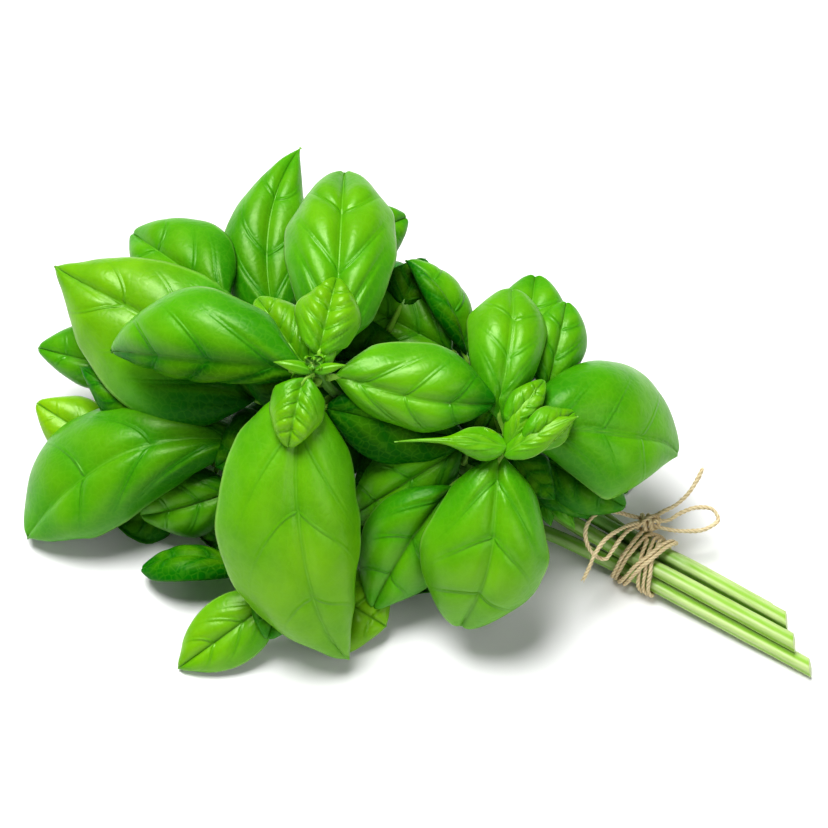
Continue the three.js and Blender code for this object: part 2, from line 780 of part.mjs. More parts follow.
const bunch = new THREE.Group();
for (const piece of PIECES_IN_ORDER) {
  bunch.add(typeof piece === "string" ? laidStem(piece) : laidLeaf(piece));
}
bunch.add(bud("bud_front", curves.stem_front));
bunch.add(bud("bud_right", curves.stem_right));
bunch.add(woundTwine());
bunch.add(knot());
centreOnTable(bunch);
for (const [name, route] of Object.entries(TWINE_ROUTES)) {
  bunch.add(twineLength(name, route));
}

export default bunch;
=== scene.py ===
"""A bunch of fresh sweet basil, tied with jute twine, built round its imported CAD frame.

Metres, +Z up, in the frame's own axes. Each leaf, stem and length of twine is a detailed piece that
follows the CAD solid of the same name.
"""

import math

import bpy
import numpy as np
from mathutils import Matrix, Vector, noise


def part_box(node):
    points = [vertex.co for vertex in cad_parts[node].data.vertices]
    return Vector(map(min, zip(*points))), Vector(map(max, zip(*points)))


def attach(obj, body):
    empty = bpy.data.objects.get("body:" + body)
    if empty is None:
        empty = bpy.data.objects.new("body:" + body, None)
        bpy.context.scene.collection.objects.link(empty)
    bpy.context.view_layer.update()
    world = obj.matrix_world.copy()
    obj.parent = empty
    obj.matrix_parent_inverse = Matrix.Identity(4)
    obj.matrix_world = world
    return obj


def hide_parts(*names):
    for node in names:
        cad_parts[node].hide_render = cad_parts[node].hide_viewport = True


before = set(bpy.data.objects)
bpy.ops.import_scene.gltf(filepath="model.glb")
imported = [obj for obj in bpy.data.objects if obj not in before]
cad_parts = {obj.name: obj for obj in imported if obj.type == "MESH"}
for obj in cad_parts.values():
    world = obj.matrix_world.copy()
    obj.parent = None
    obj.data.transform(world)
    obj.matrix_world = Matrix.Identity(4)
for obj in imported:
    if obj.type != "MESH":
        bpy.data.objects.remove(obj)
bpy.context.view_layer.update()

MM = 0.001

# ---- The show face, which the rosettes and the camera look out of ----

FACE_TURN = 32  # degrees about Z
FACE_LEAN = 30  # degrees back from looking straight up
FACE_HEIGHT = 40 * MM
KNOT_IN_LAYOUT = Vector((80, 18.3, 15.6)) * MM


def middle_of(node):
    low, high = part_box(node)
    return (low + high) / 2


LAYOUT = middle_of("twine_knot") - KNOT_IN_LAYOUT  # the layout's origin, in the frame
FACE = (
    Matrix.Translation(LAYOUT + Vector((0, 0, FACE_HEIGHT)))
    @ Matrix.Rotation(math.radians(FACE_TURN), 4, "Z")
    @ Matrix.Rotation(math.radians(FACE_LEAN), 4, "X")
)
FACE_TURNED = FACE.to_3x3()
FACE_OUT = FACE_TURNED @ Vector((0, 0, 1))
FACE_UP = np.array(FACE_TURNED @ Vector((0, 1, 0)))


def face(across, up, out):
    """A place on the show face, given in millimetres across it, up it and out of it."""
    return FACE @ (Vector((across, up, out)) * MM)


# ---- Camera, floor and light ----


def new_object(name, data):
    made = bpy.data.objects.new(name, data)
    bpy.context.scene.collection.objects.link(made)
    return made


CAMERA_DISTANCE = 1.138
CAMERA_CLIP = (0.05, 20)
LENS, SENSOR = 150, 36  # mm
FLOOR_HALF = 6
FLOOR_DROP = 0.2 * MM  # keeps the floor clear of the leaves that lie on it
FLOOR_GREY = 0.93
WORLD_STRENGTH = 0.12
# Each light's place in millimetres on the show face, its size in metres and its power in watts.
LIGHTS = {
    "key": ((-550, 1800, 1750), 1.6, 88),
    "fill": ((1200, -300, 1500), 1.2, 8),
    "front": ((-300, -1700, 1200), 1.6, 7),
}


def make_camera():
    camera = new_object("camera", bpy.data.cameras.new("camera"))
    camera.data.lens, camera.data.sensor_width = LENS, SENSOR
    camera.data.clip_start, camera.data.clip_end = CAMERA_CLIP
    camera.location = FACE.translation + FACE_OUT * CAMERA_DISTANCE
    camera.rotation_euler = FACE.to_euler()
    bpy.context.scene.camera = camera


def make_floor():
    near, far = -FLOOR_HALF, FLOOR_HALF
    corners = [(near, near, 0), (far, near, 0), (far, far, 0), (near, far, 0)]
    mesh = bpy.data.meshes.new("floor")
    mesh.from_pydata(corners, [], [(0, 1, 2, 3)])
    floor = new_object("floor", mesh)
    floor.location.z = -FLOOR_DROP
    paint = Paint("floor")
    paint.shade({"Base Color": rgba(FLOOR_GREY), "Roughness": 0.9, "Specular IOR Level": 0.0})
    mesh.materials.append(paint.material)


def make_light():
    world = bpy.data.worlds.new("studio")
    world.use_nodes = True
    background = world.node_tree.nodes["Background"]
    background.inputs["Color"].default_value = (1, 1, 1, 1)
    background.inputs["Strength"].default_value = WORLD_STRENGTH
    bpy.context.scene.world = world
    for name, (place, size, power) in LIGHTS.items():
        light = new_object(name, bpy.data.lights.new(name, "AREA"))
        light.data.shape, light.data.size, light.data.energy = "DISK", size, power
        light.location = face(*place)
        aim = FACE.translation - face(*place)
        light.rotation_euler = aim.to_track_quat("-Z", "Y").to_euler()


# ---- Curves and meshes ----


def spline(knots, values, at):
    """A smooth curve through the values at the knots, each with the slope its neighbours give it."""
    knots = np.asarray(knots, float)
    values = np.asarray(values, float)
    at = np.clip(at, knots[0], knots[-1])
    slopes = np.gradient(values, knots, axis=0)
    i = np.clip(np.searchsorted(knots, at, side="right") - 1, 0, len(knots) - 2)
    step = knots[i + 1] - knots[i]
    x = (at - knots[i]) / step
    shape = (-1,) + (1,) * (values.ndim - 1)
    x, step = x.reshape(shape), step.reshape(shape)
    return (
        values[i] * (1 + 2 * x) * (1 - x) ** 2
        + slopes[i] * step * x * (1 - x) ** 2
        + values[i + 1] * x * x * (3 - 2 * x)
        + slopes[i + 1] * step * x * x * (x - 1)
    )


def lengths_along(points):
    steps = np.linalg.norm(np.diff(points, axis=0), axis=1)
    return np.concatenate([[0], np.cumsum(steps)])


def smooth_path(points, step, fineness=40):
    """The points again as a smooth path of even steps."""
    points = np.array([tuple(p) for p in points], float)
    chord = lengths_along(points)
    fine = spline(chord, points, np.linspace(0, chord[-1], fineness * len(points)))
    along = lengths_along(fine)
    count = max(4, int(round(along[-1] / step)) + 1)
    at = np.linspace(0, along[-1], count)
    return np.stack([np.interp(at, along, fine[:, k]) for k in range(3)], axis=1)


def unit(vectors):
    size = np.linalg.norm(vectors, axis=-1, keepdims=True)
    return vectors / np.maximum(size, 1e-12)


def carried_frames(path, first_side):
    """A path's heading at each point, and its side and up directions, carried along untwisted."""
    heading = unit(np.gradient(path, axis=0))
    side = np.empty_like(path)
    last = np.asarray(first_side, float)
    for i, ahead in enumerate(heading):
        last = last - ahead * (last @ ahead)
        last = last / np.linalg.norm(last)
        side[i] = last
    return heading, side, np.cross(heading, side)


def rings_round(path, side, up, reach, angles):
    """Rings of points round a path, as far out of it as their reach."""
    return (
        path[:, None]
        + side[:, None] * (reach * np.cos(angles))[..., None]
        + up[:, None] * (reach * np.sin(angles))[..., None]
    )


def round_angles(sides):
    return np.arange(sides) / sides * 2 * math.pi


def loft_faces(rings, sides):
    """The quads between rings of points, and the fans that close both ends on two last points."""
    edges = [(side, (side + 1) % sides) for side in range(sides)]
    last, start = (rings - 1) * sides, rings * sides
    faces = [
        (i + a, i + b, i + sides + b, i + sides + a) for i in range(0, last, sides) for a, b in edges
    ]
    for a, b in edges:
        faces += (start, b, a), (start + 1, last + a, last + b)
    return faces


class Shell:
    """Lofts gathered into one object, with values at each of their points for its material."""

    def __init__(self):
        self.points, self.faces, self.values = [], [], {}

    def add_loft(self, rings, start, end, **values):
        """rings is rings by sides by three. A value is a number, or one for each ring point."""
        count, sides = rings.shape[:2]
        first = sum(map(len, self.points))
        self.points.append(np.concatenate([rings.reshape(-1, 3), [start], [end]]))
        self.faces.extend(tuple(first + i for i in face) for face in loft_faces(count, sides))
        for name, value in values.items():
            spread = np.broadcast_to(np.asarray(value, float), (count, sides)).ravel()
            self.values.setdefault(name, []).append(np.concatenate([spread, spread[[0, -1]]]))

    def build(self, name, material, slot, *nodes):
        mesh = bpy.data.meshes.new(name)
        mesh.from_pydata(np.concatenate(self.points), [], self.faces)
        mesh.shade_smooth()
        for key, parts in self.values.items():
            attribute = mesh.attributes.new(key, "FLOAT", "POINT")
            attribute.data.foreach_set("value", np.concatenate(parts).astype(np.float32))
        mesh.materials.append(material)
        piece = new_object(name, mesh)
        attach(piece, "root")
        if nodes:
            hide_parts(*nodes)
        return piece


def tube(shell, path, radii, sides, first_side=(0, 0, 1), **values):
    _, side, up = carried_frames(path, first_side)
    reach = np.broadcast_to(radii, (len(path),))[:, None]
    rings = rings_round(path, side, up, reach, round_angles(sides))
    shell.add_loft(rings, path[0], path[-1], **values)


# ---- Reading a CAD solid's rings ----

RING_SIDES = 8
SAME_PLACE = 0.01 * MM


def merged(node):
    """A CAD node's points, each once, and its triangles."""
    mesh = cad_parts[node].data
    mesh.calc_loop_triangles()
    points = np.array([v.co for v in mesh.vertices])
    cells = np.round(points / SAME_PLACE).astype(int)
    _, first, same = np.unique(cells, axis=0, return_index=True, return_inverse=True)
    triangles = np.array([t.vertices[:] for t in mesh.loop_triangles])
    return points[first], same.ravel()[triangles]


def layers_from(pole, neighbours):
    """The points at each number of steps from one of a lofted solid's poles, as a list of sets."""
    seen, layer, layers = {pole}, {pole}, []
    while layer:
        layers.append(layer)
        layer = {b for a in layer for b in neighbours[a]} - seen
        seen |= layer
    return layers


def read_rings(node, is_first):
    """A lofted solid's rings, as rings by sides by three, and its start and end poles.

    is_first, given a pole and the second ring from it, is lower for the start pole. The rings line up,
    from the point of the first ring that is nearest to its middle.
    """
    points, triangles = merged(node)
    neighbours = [set() for _ in points]
    for a, b, c in triangles:
        neighbours[a] |= {b, c}
        neighbours[b] |= {a, c}
        neighbours[c] |= {a, b}
    hubs = [i for i, near in enumerate(neighbours) if len(near) == RING_SIDES]
    found = {hub: layers_from(hub, neighbours) for hub in hubs}
    poles = [hub for hub in hubs if len(found[hub][-1]) == 1]
    start, end = sorted(poles, key=lambda p: is_first(points[p], points[list(found[p][2])]))
    layers = found[start]
    depth = {point: k for k, layer in enumerate(layers) for point in layer}
    after, ahead = {}, {}
    for corners in triangles:
        for turn in range(3):
            p, q, r = np.roll(corners, turn)
            if depth[p] == depth[q] == depth[r] - 1:
                after[p] = q
                ahead[q] = r
    middle = points[list(layers[1])].mean(0)
    point = sorted(layers[1], key=lambda p: np.linalg.norm(points[p] - middle))[0]
    rings = []
    for _ in layers[1:-1]:
        order = [point]
        while len(order) < RING_SIDES:
            order.append(after[order[-1]])
        rings.append(points[order])
        point = ahead[point]
    return np.array(rings), points[start], points[end]


# ---- Leaves ----

BLADE_STEPS = np.array([0, 0.03, 0.1, 0.2, 0.32, 0.45, 0.58, 0.71, 0.83, 0.93, 1])
RIM_STEP = 0.55  # where, out to the rim, a CAD blade has its middle points
PETIOLE_RINGS = 4
BLADE_THICKNESS = 0.38 * MM
BLADE_ENDS = (0.012, 0.99)  # how near the faces go to the base and the tip
ROW_LIMITS = (18, 130)
HALF_COLUMN_LIMITS = (6, 34)
LONGEST_REACH = 30 * MM
FULL_RELIEF = 13 * MM  # a narrower leaf has a lower relief, in proportion
TIP_DROP_WIDTH = 20 * MM
VALLEY = 1.0 * MM
WAVE_SIZE = 11 * MM
SWELL_SIZE = 17 * MM


class Look:
    """A leaf's look, with lengths in millimetres. A pair is for its left and right halves."""

    tone = 0.0  # from deep green (-1) to yellow green (1), darker partly as painted shade, or a pair whose darker half is painted shade
    pucker = 0.55  # how far the blade rises between its veins
    vein = 0.35  # how deep they lie
    pairs = 3  # of side veins
    bow = 0.0  # how far the midrib swings to the left, as a share of the half width
    fold = 1.3  # how far each half rises beside the midrib
    curl = 1.5  # how far the rims turn down
    wave = 0.6  # how ruffled they are
    tip = 1.0  # how far the tip turns down
    droop = (0, 0)  # how far each half hangs
    spread = (1, 1)  # how much wider each half is
    blunt = (1, 1)  # and near the tip only
    even = (0, 0)  # how often its outline is smoothed
    shaded_ends = (0.35, 0)  # how much darker its base and tip are painted, as painted shade

    def __init__(self, *first, **others):
        """The first values are the tone, the pucker and the vein."""
        vars(self).update(zip(("tone", "pucker", "vein"), first), **others)


HIDDEN = ("under", "far", "inner")  # leaves that are out of sight
# Leaves out of sight are painted a deeper green, as painted shade inside the bunch.
HIDDEN_SHADE_TONE = -0.5
LEAF_LOOKS = {
    "front_4": Look(0.2, 1.2, 0.6, wave=1),
    "front_5": Look((-0.8, 0.05), 0.8, 0.4, bow=0.1, droop=(5.5, 0)),
    "front_6": Look(0.15, 0.6, 0.4, bow=-0.1, droop=(0, 4), blunt=(1.2, 1.2), shaded_ends=(0, 0.7)),
    "front_7": Look(
        0.5, 0.5, 0.28, tip=0.3, bow=0.16, wave=0.9, droop=(2.5, 0.5), spread=(1.17, 1.03),
    ),
    "front_3": Look(0.4, 0.9, 0.5, pairs=4),
    "front_8": Look(0.5, 1.3, 0.7, pairs=4, wave=2),
    "front_9": Look(0.5, 1.4, 0.7, pairs=4, wave=2),
    "right_4": Look(
        0.1, 0.35, 0.18, bow=-0.2, tip=0.6, wave=0, droop=(0, 1.5), blunt=(1.45, 1.2),
        spread=(1, 1.15), even=(0, 9),
    ),
    "right_5": Look(0.2, bow=-0.1, vein=0.25, blunt=(1.3, 1.3)),
    "right_6": Look(0.3, 0.8, 0.5, bow=0.1, tip=0.6, spread=(1.10, 1.04)),
    "right_7": Look(0.3, 1.4, 0.7, wave=2.4),
    "right_8": Look(0.3, 1.4, 0.7, wave=2.4),
    "upper_1": Look(-0.2),
    "upper_3": Look(spread=(1, 1.35), blunt=(1.2, 1.2)),
    "upper_5": Look(0.55, 0.7, 0.4, bow=-0.15, droop=(3, 0), shaded_ends=(1.3, 0)),
    "lower_5": Look(-0.1, 0.8, 0.4, bow=0.1, droop=(4, 0), blunt=(1, 1.8)),
    "lower_6": Look((0.35, 0.6), 0.6, 0.35),
    "lower_8": Look(0.8, 0.5, 0.3),
    "lower_7": Look(-0.4),
    "lower_4": Look(-0.7, spread=(0.85, 0.85)),
    "lower_1": Look(0.9, 0.3, 0.15),
    "lower_2": Look(-0.1, 0.4, 0.25, spread=(0.7, 1.05)),
    "upper_6": Look((-0.6, 0.1), spread=(0.42, 1.05)),
    "front_1": Look(droop=(0, 2)),
    "front_2": Look(-1, 0.2, 0.2),
    "right_10": Look(-0.4),
}
# These leaves taper all the way down their petioles to the stem.
SEATED = {f"front_{i}" for i in range(3, 10)} | {f"right_{i}" for i in range(4, 9)}
SHOULDERS = (1.8, 1.3, 1.08)  # how much wider they are near their bases
YOUNG = {"front_3", "front_8", "front_9", "right_7", "right_8"}

# How far some tips are from the CAD's, in millimetres across the show face, up it and out of it.
TIP_SHIFTS = {
    "lower_5": (1, -6, -1),
    "right_4": (0.5, -1, 0),
    "right_6": (0, 1, 0),
    "upper_3": (-2.5, -0.5, 0),
}


def warped(t):
    """Steps along a blade, spread out where its outline turns fastest."""
    return np.arcsin(np.sqrt(t)) * 2 / math.pi


def blade_columns(rings, tip, seated):
    """A CAD blade's middle surface: five columns of points from its base to its tip."""
    blade = rings[PETIOLE_RINGS:]
    # A ring's points go from the upper middle over the right rim to the lower middle, and on round.
    columns = (blade[:, [6, 7, 0, 1, 2]] + blade[:, [6, 5, 4, 3, 2]]) / 2
    if seated:
        base = rings[1].mean(0)
        for row, share in enumerate(SHOULDERS):
            columns[row] = columns[row, 2] + (columns[row] - columns[row, 2]) * share
    else:
        petiole_end = rings[PETIOLE_RINGS - 1].mean(0)
        base = petiole_end + 0.35 * (columns[0, 2] - petiole_end)
    return np.concatenate([[[base] * 5], columns, [[tip] * 5]])


def widened(columns, look):
    """The columns with each half of the blade as wide as its look says."""
    middle = columns[:, 2:3]
    near_tip = fade(BLADE_STEPS, 0.45, 0.95)[:, None]
    halves = np.array(look.spread) * (1 + (np.array(look.blunt) - 1) * near_tip)
    columns = middle + (columns - middle) * halves[:, [0, 0, 0, 1, 1], None]
    for half, passes in zip((columns[:, :2], columns[:, 3:]), look.even):
        for _ in range(passes):
            half[1:-1] = (half[:-2] + 2 * half[1:-1] + half[2:]) / 4
    return columns


def across_weights(s):
    """How much each of the five columns counts at a place across the blade, from -1, left, to 1."""
    x = np.abs(s)
    middle = (x - RIM_STEP) * (x - 1) / RIM_STEP
    between = x * (x - 1) / (RIM_STEP * (RIM_STEP - 1))
    rim = x * (x - RIM_STEP) / (1 - RIM_STEP)
    left, right = s < 0, s >= 0
    return np.stack([rim * left, between * left, middle, between * right, rim * right], axis=1)


def fade(x, low, high):
    y = np.clip((x - low) / (high - low), 0, 1)
    return y * y * (3 - 2 * y)


def slow_noise(points, size, seed):
    """A smooth value from about -1 to 1 at each point, varying over that size."""
    offset = Vector((seed * 7.1, seed * 3.7, seed * 1.3))
    flat = points.reshape(-1, 3) / size
    return np.array([noise.noise(Vector(p) + offset) for p in flat]).reshape(points.shape[:-1])


def reach_of(values, surface):
    """How far, in metres, a value takes to change by one at each place on a surface."""
    along, across = np.gradient(surface, axis=0), np.gradient(surface, axis=1)
    change_along, change_across = np.gradient(values, axis=0), np.gradient(values, axis=1)
    aa = (along * along).sum(-1)
    ab = (along * across).sum(-1)
    bb = (across * across).sum(-1)
    room = np.maximum(aa * bb - ab * ab, 1e-18)
    square = bb * change_along**2 - 2 * ab * change_along * change_across + aa * change_across**2
    return 1 / np.sqrt(np.maximum(square / room, 1e-6))


def half_widths(surface):
    return np.linalg.norm(surface[:, :1] - surface[:, -1:], axis=-1) / 2


class Veins:
    """Where a blade's veins run.

    A side vein bends forward from the midrib until it follows the rim. rank is a whole number on each,
    reach is the distance from one to the next, apart how far a place is from the nearest, in ranks, and
    across how far it is from the midrib.
    """

    def __init__(self, surface, t, s, look, seed):
        x = s + look.bow * np.sin(math.pi * np.clip(t, 0, 1)) * (1 - s * s)
        out = np.abs(x)
        lean = 0.34 * out + 0.30 * out**2
        start = np.clip((t - lean) / (1 - 0.96 * lean), -0.5, 1)
        side = fade(x, -0.3, 0.3) - 0.5
        spread = np.sign(start) * np.abs(start) ** 0.9
        wander = 0.10 * np.sin(2.6 * out + seed) + 0.07 * np.sin(5 * t + 1.7 * seed)
        self.rank = look.pairs * 1.1 * spread + 0.12 * side + wander + 0.74
        self.reach = np.minimum(reach_of(self.rank, surface), LONGEST_REACH)
        self.apart = np.abs(self.rank - np.round(self.rank))
        half_width = half_widths(surface)
        self.across = out * half_width
        self.strength = (
            fade(self.rank, 0.35, 0.75)
            * (1 - fade(out, 0.20, 0.88))
            * (1 - fade(start, 0.72, 0.86))
            * fade(half_width, 2 * MM, 5 * MM)
            * min(1, look.vein / Look.vein)
        )
        self.out = out


def leaf_relief(middle, normals, t, s, look, seed):
    """The middle surface with its veins, puckers and waves, and where its veins run."""
    veins = Veins(middle, t, s, look, seed)
    half_width = half_widths(middle)
    widest = half_width.max()
    size = np.minimum(1, widest / FULL_RELIEF) * fade(half_width, 0, 0.3 * widest)
    valley = np.exp(-((veins.apart * veins.reach / VALLEY) ** 2)) * veins.strength
    midrib = np.exp(-((veins.across / ((1.5 - 0.8 * t) * MM)) ** 2))
    dome = np.sin(math.pi * np.clip(veins.apart, 0, 0.5)) ** 0.9 * fade(veins.across, 0, 4 * MM)
    dome = dome * (0.35 + 0.65 * veins.strength) * (1 - fade(veins.out, 0.45, 0.85))
    waves = slow_noise(middle, WAVE_SIZE, seed) * veins.out**4
    swells = slow_noise(middle, SWELL_SIZE, seed + 40)
    rise = (
        look.pucker * dome
        - look.vein * (valley + 1.6 * midrib * (1 - 0.6 * t))
        + look.wave * 1.6 * waves
        + look.fold * 4 * veins.out**0.6 * (1 - veins.out**0.6)
        - look.curl * veins.out**3
        - np.where(s < 0, *look.droop) * np.abs(s) ** 1.5
        + 0.7 * swells * fade(veins.out, 0, 0.5)
    )
    drop = look.tip * fade(t, 0.72, 1.15) * 2 * widest / TIP_DROP_WIDTH
    return middle + normals * ((rise * size - drop) * MM)[..., None], veins


def surface_normals(surface):
    along = np.gradient(surface, axis=0)
    across = np.gradient(surface, axis=1)
    normals = unit(np.cross(across, along))
    normals[:2], normals[-2:] = normals[2], normals[-3]
    return normals


def add_blade(shell, columns, look, seed, detail):
    """A closed shell with its veins sunk in the upper side. Gives its midrib and the normals there."""
    length = lengths_along(columns[:, 2])[-1]
    widest = np.linalg.norm(columns[:, 0] - columns[:, 4], axis=1).max()
    rows = int(np.clip(length / detail, *ROW_LIMITS))
    cols = 2 * int(np.clip(widest / detail / 2, *HALF_COLUMN_LIMITS)) + 1
    q = np.linspace(*BLADE_ENDS, rows)
    x = np.linspace(-1, 1, cols)
    s = np.sign(x) * np.abs(x) ** 1.1
    splined = spline(warped(BLADE_STEPS), columns, q)
    middle = np.einsum("rcd,sc->rsd", splined, across_weights(s))
    t = np.broadcast_to((np.sin(q * math.pi / 2) ** 2)[:, None], (rows, cols))
    s = np.broadcast_to(s, (rows, cols))
    relief, veins = leaf_relief(middle, surface_normals(middle), t, s, look, seed)
    # A low leaf lies flat on the table.
    relief[..., 2] = np.maximum(relief[..., 2], BLADE_THICKNESS)
    normals = surface_normals(relief)
    # Painted shade: the tone drops on the darker half of a pair and towards the base and tip.
    shade_at_base, shade_at_tip = look.shaded_ends
    tone = np.interp(s, (-0.25, 0.25), np.broadcast_to(look.tone, 2))
    tone = tone - shade_at_base * (1 - fade(t, 0.1, 0.7)) - shade_at_tip * fade(t, 0.4, 1)
    thick = BLADE_THICKNESS * (1 - 0.5 * np.abs(s) ** 6) / 2
    shift = normals * thick[..., None]

    def both(upper, lower):
        return np.concatenate([upper, lower[:, ::-1]], axis=1)[:, ::-1]

    # The pucker value marks where the blade rises between its veins, which the material paints as a
    # highlight.
    values = dict(
        rank=veins.rank, reach=veins.reach, across=veins.across, strength=veins.strength,
        pucker=np.sin(math.pi * np.clip(veins.apart, 0, 0.5)) * veins.strength,
        rim=np.abs(s), tone=tone, stalk=np.zeros_like(t),
    )
    values = {name: both(value, value) for name, value in values.items()}
    values["under"] = both(np.zeros_like(t), np.ones_like(t))
    rings = both(relief + shift, relief - shift)
    shell.add_loft(rings, relief[0].mean(0), relief[-1].mean(0), **values)
    return relief[:, cols // 2], normals[:, cols // 2]


STALK_VALUES = dict(
    rank=0.5, reach=0.01, across=0.01, strength=0.0, pucker=0.0, rim=0.0, under=0.0, stalk=1.0
)
PETIOLE_SIDES = 10
PETIOLE_STEP = 1.2 * MM
PETIOLE_ROOT = 1.2  # mm, how far it starts inside the stem


def add_petiole(shell, centres, radius, foot, midrib, normals, look):
    """The petiole, which starts inside the stem and runs on under the blade as its midrib."""
    taper = 1 - 0.85 * np.linspace(0, 1, len(midrib))
    under = midrib - normals * (radius * taper + 0.05 * MM)[:, None]
    under = under[4 : int(0.92 * len(midrib))]
    start = foot - unit(centres[0] - foot) * PETIOLE_ROOT * MM
    path = smooth_path(np.concatenate([[start], centres, under]), PETIOLE_STEP)
    along = lengths_along(path)
    blade_start = along[-1] - lengths_along(under)[-1]
    taper = 1 - 0.8 * np.clip((along - blade_start) / (along[-1] - blade_start), 0, 1)
    swell = 1 + 0.35 * np.exp(-(((along - PETIOLE_ROOT * MM) / (2.0 * MM)) ** 2))
    first_side = np.cross(path[1] - path[0], normals[0])
    values = {**STALK_VALUES, "tone": float(np.mean(look.tone))}
    tube(shell, path, radius * 0.95 * taper * swell, PETIOLE_SIDES, first_side, **values)


def build_leaf(name, slot, material, columns, look, seed, detail, petiole, nodes=()):
    """One leaf. petiole gives its middles out of the stem, its radius and its foot."""
    shell = Shell()
    midrib, normals = add_blade(shell, columns, look, seed, detail)
    add_petiole(shell, *petiole, midrib, normals, look)
    shell.build(name, material, slot, *nodes)


# How large the faces of a leaf are: in full view, hidden, inside the head, in a shoot and in a bud.
FINE = 0.62 * MM
COARSE = 1.5 * MM
INNER_DETAIL = 0.9 * MM
SHOOT_DETAIL = 0.45 * MM
BUD_DETAIL = 0.3 * MM


def thin_first(pole, ring):
    """The petiole's end comes first, because the ring near it is narrow."""
    return np.linalg.norm(ring - ring.mean(0), axis=1).max()


def make_leaf(node, seed, material):
    name = node.removeprefix("leaf_")
    hidden = name.startswith(HIDDEN)
    look = LEAF_LOOKS.get(name, Look(HIDDEN_SHADE_TONE) if hidden else Look())
    rings, foot, tip = read_rings(node, thin_first)
    columns = blade_columns(rings, tip, name in SEATED)
    shift = FACE_TURNED @ (Vector(TIP_SHIFTS.get(name, (0, 0, 0))) * MM)
    columns = columns + fade(BLADE_STEPS, 0.3, 1)[:, None, None] * np.array(shift)
    columns = widened(columns, look)
    centres = rings[:PETIOLE_RINGS].mean(1)
    radius = np.linalg.norm(rings[1] - centres[1], axis=1).max()
    slot = "young_leaf" if name in YOUNG else "leaf"
    detail = COARSE if hidden else FINE
    petiole = centres, radius, foot
    build_leaf("basil_" + node, slot, material, columns, look, seed, detail, petiole, [node])


# ---- Small leaves, laid out one by one ----

# How wide a blade is at each of BLADE_STEPS, as a share of its width.
OVATE = (0, 0.30, 0.56, 0.83, 0.98, 0.97, 0.84, 0.62, 0.38, 0.16, 0)
LONG_TIPPED = (0, 0.45, 0.85, 1.0, 0.82, 0.48, 0.22, 0.12, 0.09, 0.06, 0)
ACROSS = (1, RIM_STEP, 0, -RIM_STEP, -1)  # where a blade's columns are, from its left rim


def laid_columns(base, tip, width, arch, crown, roll, outline=OVATE):
    """Five columns of points for a leaf between two places on the show face.

    arch lifts its middle and crown drops its rims, as shares of its length and half width; roll turns
    it about its length, in degrees.
    """
    chord = tip - base
    ahead = chord.normalized()
    up = (FACE_OUT - ahead * FACE_OUT.dot(ahead)).normalized()
    up = Matrix.Rotation(math.radians(roll), 3, ahead) @ up
    left = np.array(up.cross(ahead))
    up, base, chord = np.array(up), np.array(base), np.array(chord)
    columns = []
    for t, share in zip(BLADE_STEPS, outline):
        half = width * MM / 2 * share
        middle = base + chord * t + up * (4 * arch * t * (1 - t) * float(np.linalg.norm(chord)))
        columns.append([middle + left * half * x - up * crown * half * x * x for x in ACROSS])
    return np.array(columns)


INNER_SEED = 60
# Leaves that fill the inside of the bunch, most painted dark green as painted shade: base and tip on
# the show face, width, foot on the nearest stem, roll and tone.
INNER_LEAVES = (
    ((-34, 8, 22), (-60, 20, 14), 24, (-28, 4, 22), 0, -0.8),
    ((-44, -4, 10), (-66, -18, 2), 26, (-36, 0, 12), 0, -0.9),
    ((-34, -10, 14), (-56, -32, 2), 24, (-28, -2, 16), 0, -0.8),
    ((-30, 14, 24), (-14, 2, 16), 18, (-30, 10, 26), 0, -0.8),
    ((-26, 20, 12), (-2, 22, 4), 24, (-28, 12, 16), 0, -0.9),
    ((0, -4, 2), (26, -22, -6), 26, (-4, 0, 4), 0, -0.9),
    ((16, -6, 6), (34, -4, 4), 20, (12, -4, 8), 0, -0.9),
    ((28, -6, 14), (38, -24, 4), 22, (26, 2, 14), 0, -0.9),
    ((34, -12, 8), (54, -30, -2), 20, (30, -6, 8), 0, -0.8),
    ((44, -20, 2), (61, -30, -5), 16, (40, -14, 2), 0, -0.8),
    ((-4, 36, 4), (4, 52, -4), 22, (-8, 28, 6), 0, -0.9),
    ((12, 12, -2), (-2, 45, 0), 28, (12, 4, -5), 0, -1),
    ((-84, -2, -6), (-112, 16, -14), 20, (-76, -8, -8), 0, -0.6),
    ((-2, -12, 4), (-20, -24, -2), 22, (4, -8, 4), 0, -1),
    ((-6, -22, -3), (-22, -46, -10), 22, (0, -12, 0), 0, -0.9),
    ((10, 0, 6), (22, -12, 2), 20, (6, 4, 6), 0, -0.9),
    ((32, -14, 27), (46, -28, 20), 17, (30, -12, 27), 0, -1),
    ((40, -19, 9), (59, -35, 3), 15, (37, -15, 5), 0, -0.5),
    ((46, -21, 7), (61, -32, 1), 13, (42, -18, 3), 25, -0.8),
    ((45, -27, 6), (53, -38, 4), 7, (42, -22, 2), -30, 0.1),
    ((50, -25, 7), (60, -33, 5), 7, (47, -21, 2), 40, 0.2),
    ((42, -26, 6), (45, -37, 4), 8, (40, -20, 2), 10, -0.3),
    ((10, 8, 0), (-22, 22, 6), 26, (8, 5, -6), 60, -0.5),
    ((-12, 18, 0), (-44, 30, 4), 26, (-11, 14, -5), 60, -0.4),
    ((-14, 4, 18), (-42, 20, 14), 24, (-17, 1, 25), 65, -0.5),
    ((4, -4, 12), (-20, 14, 16), 24, (1, -9, 14), 60, -0.6),
    ((28, -4, -8), (2, 14, -2), 22, (26, -7, -9), 55, -0.4),
    ((-4, 0, 12), (24, 12, 10), 22, (1, -9, 14), -60, -0.6),
)


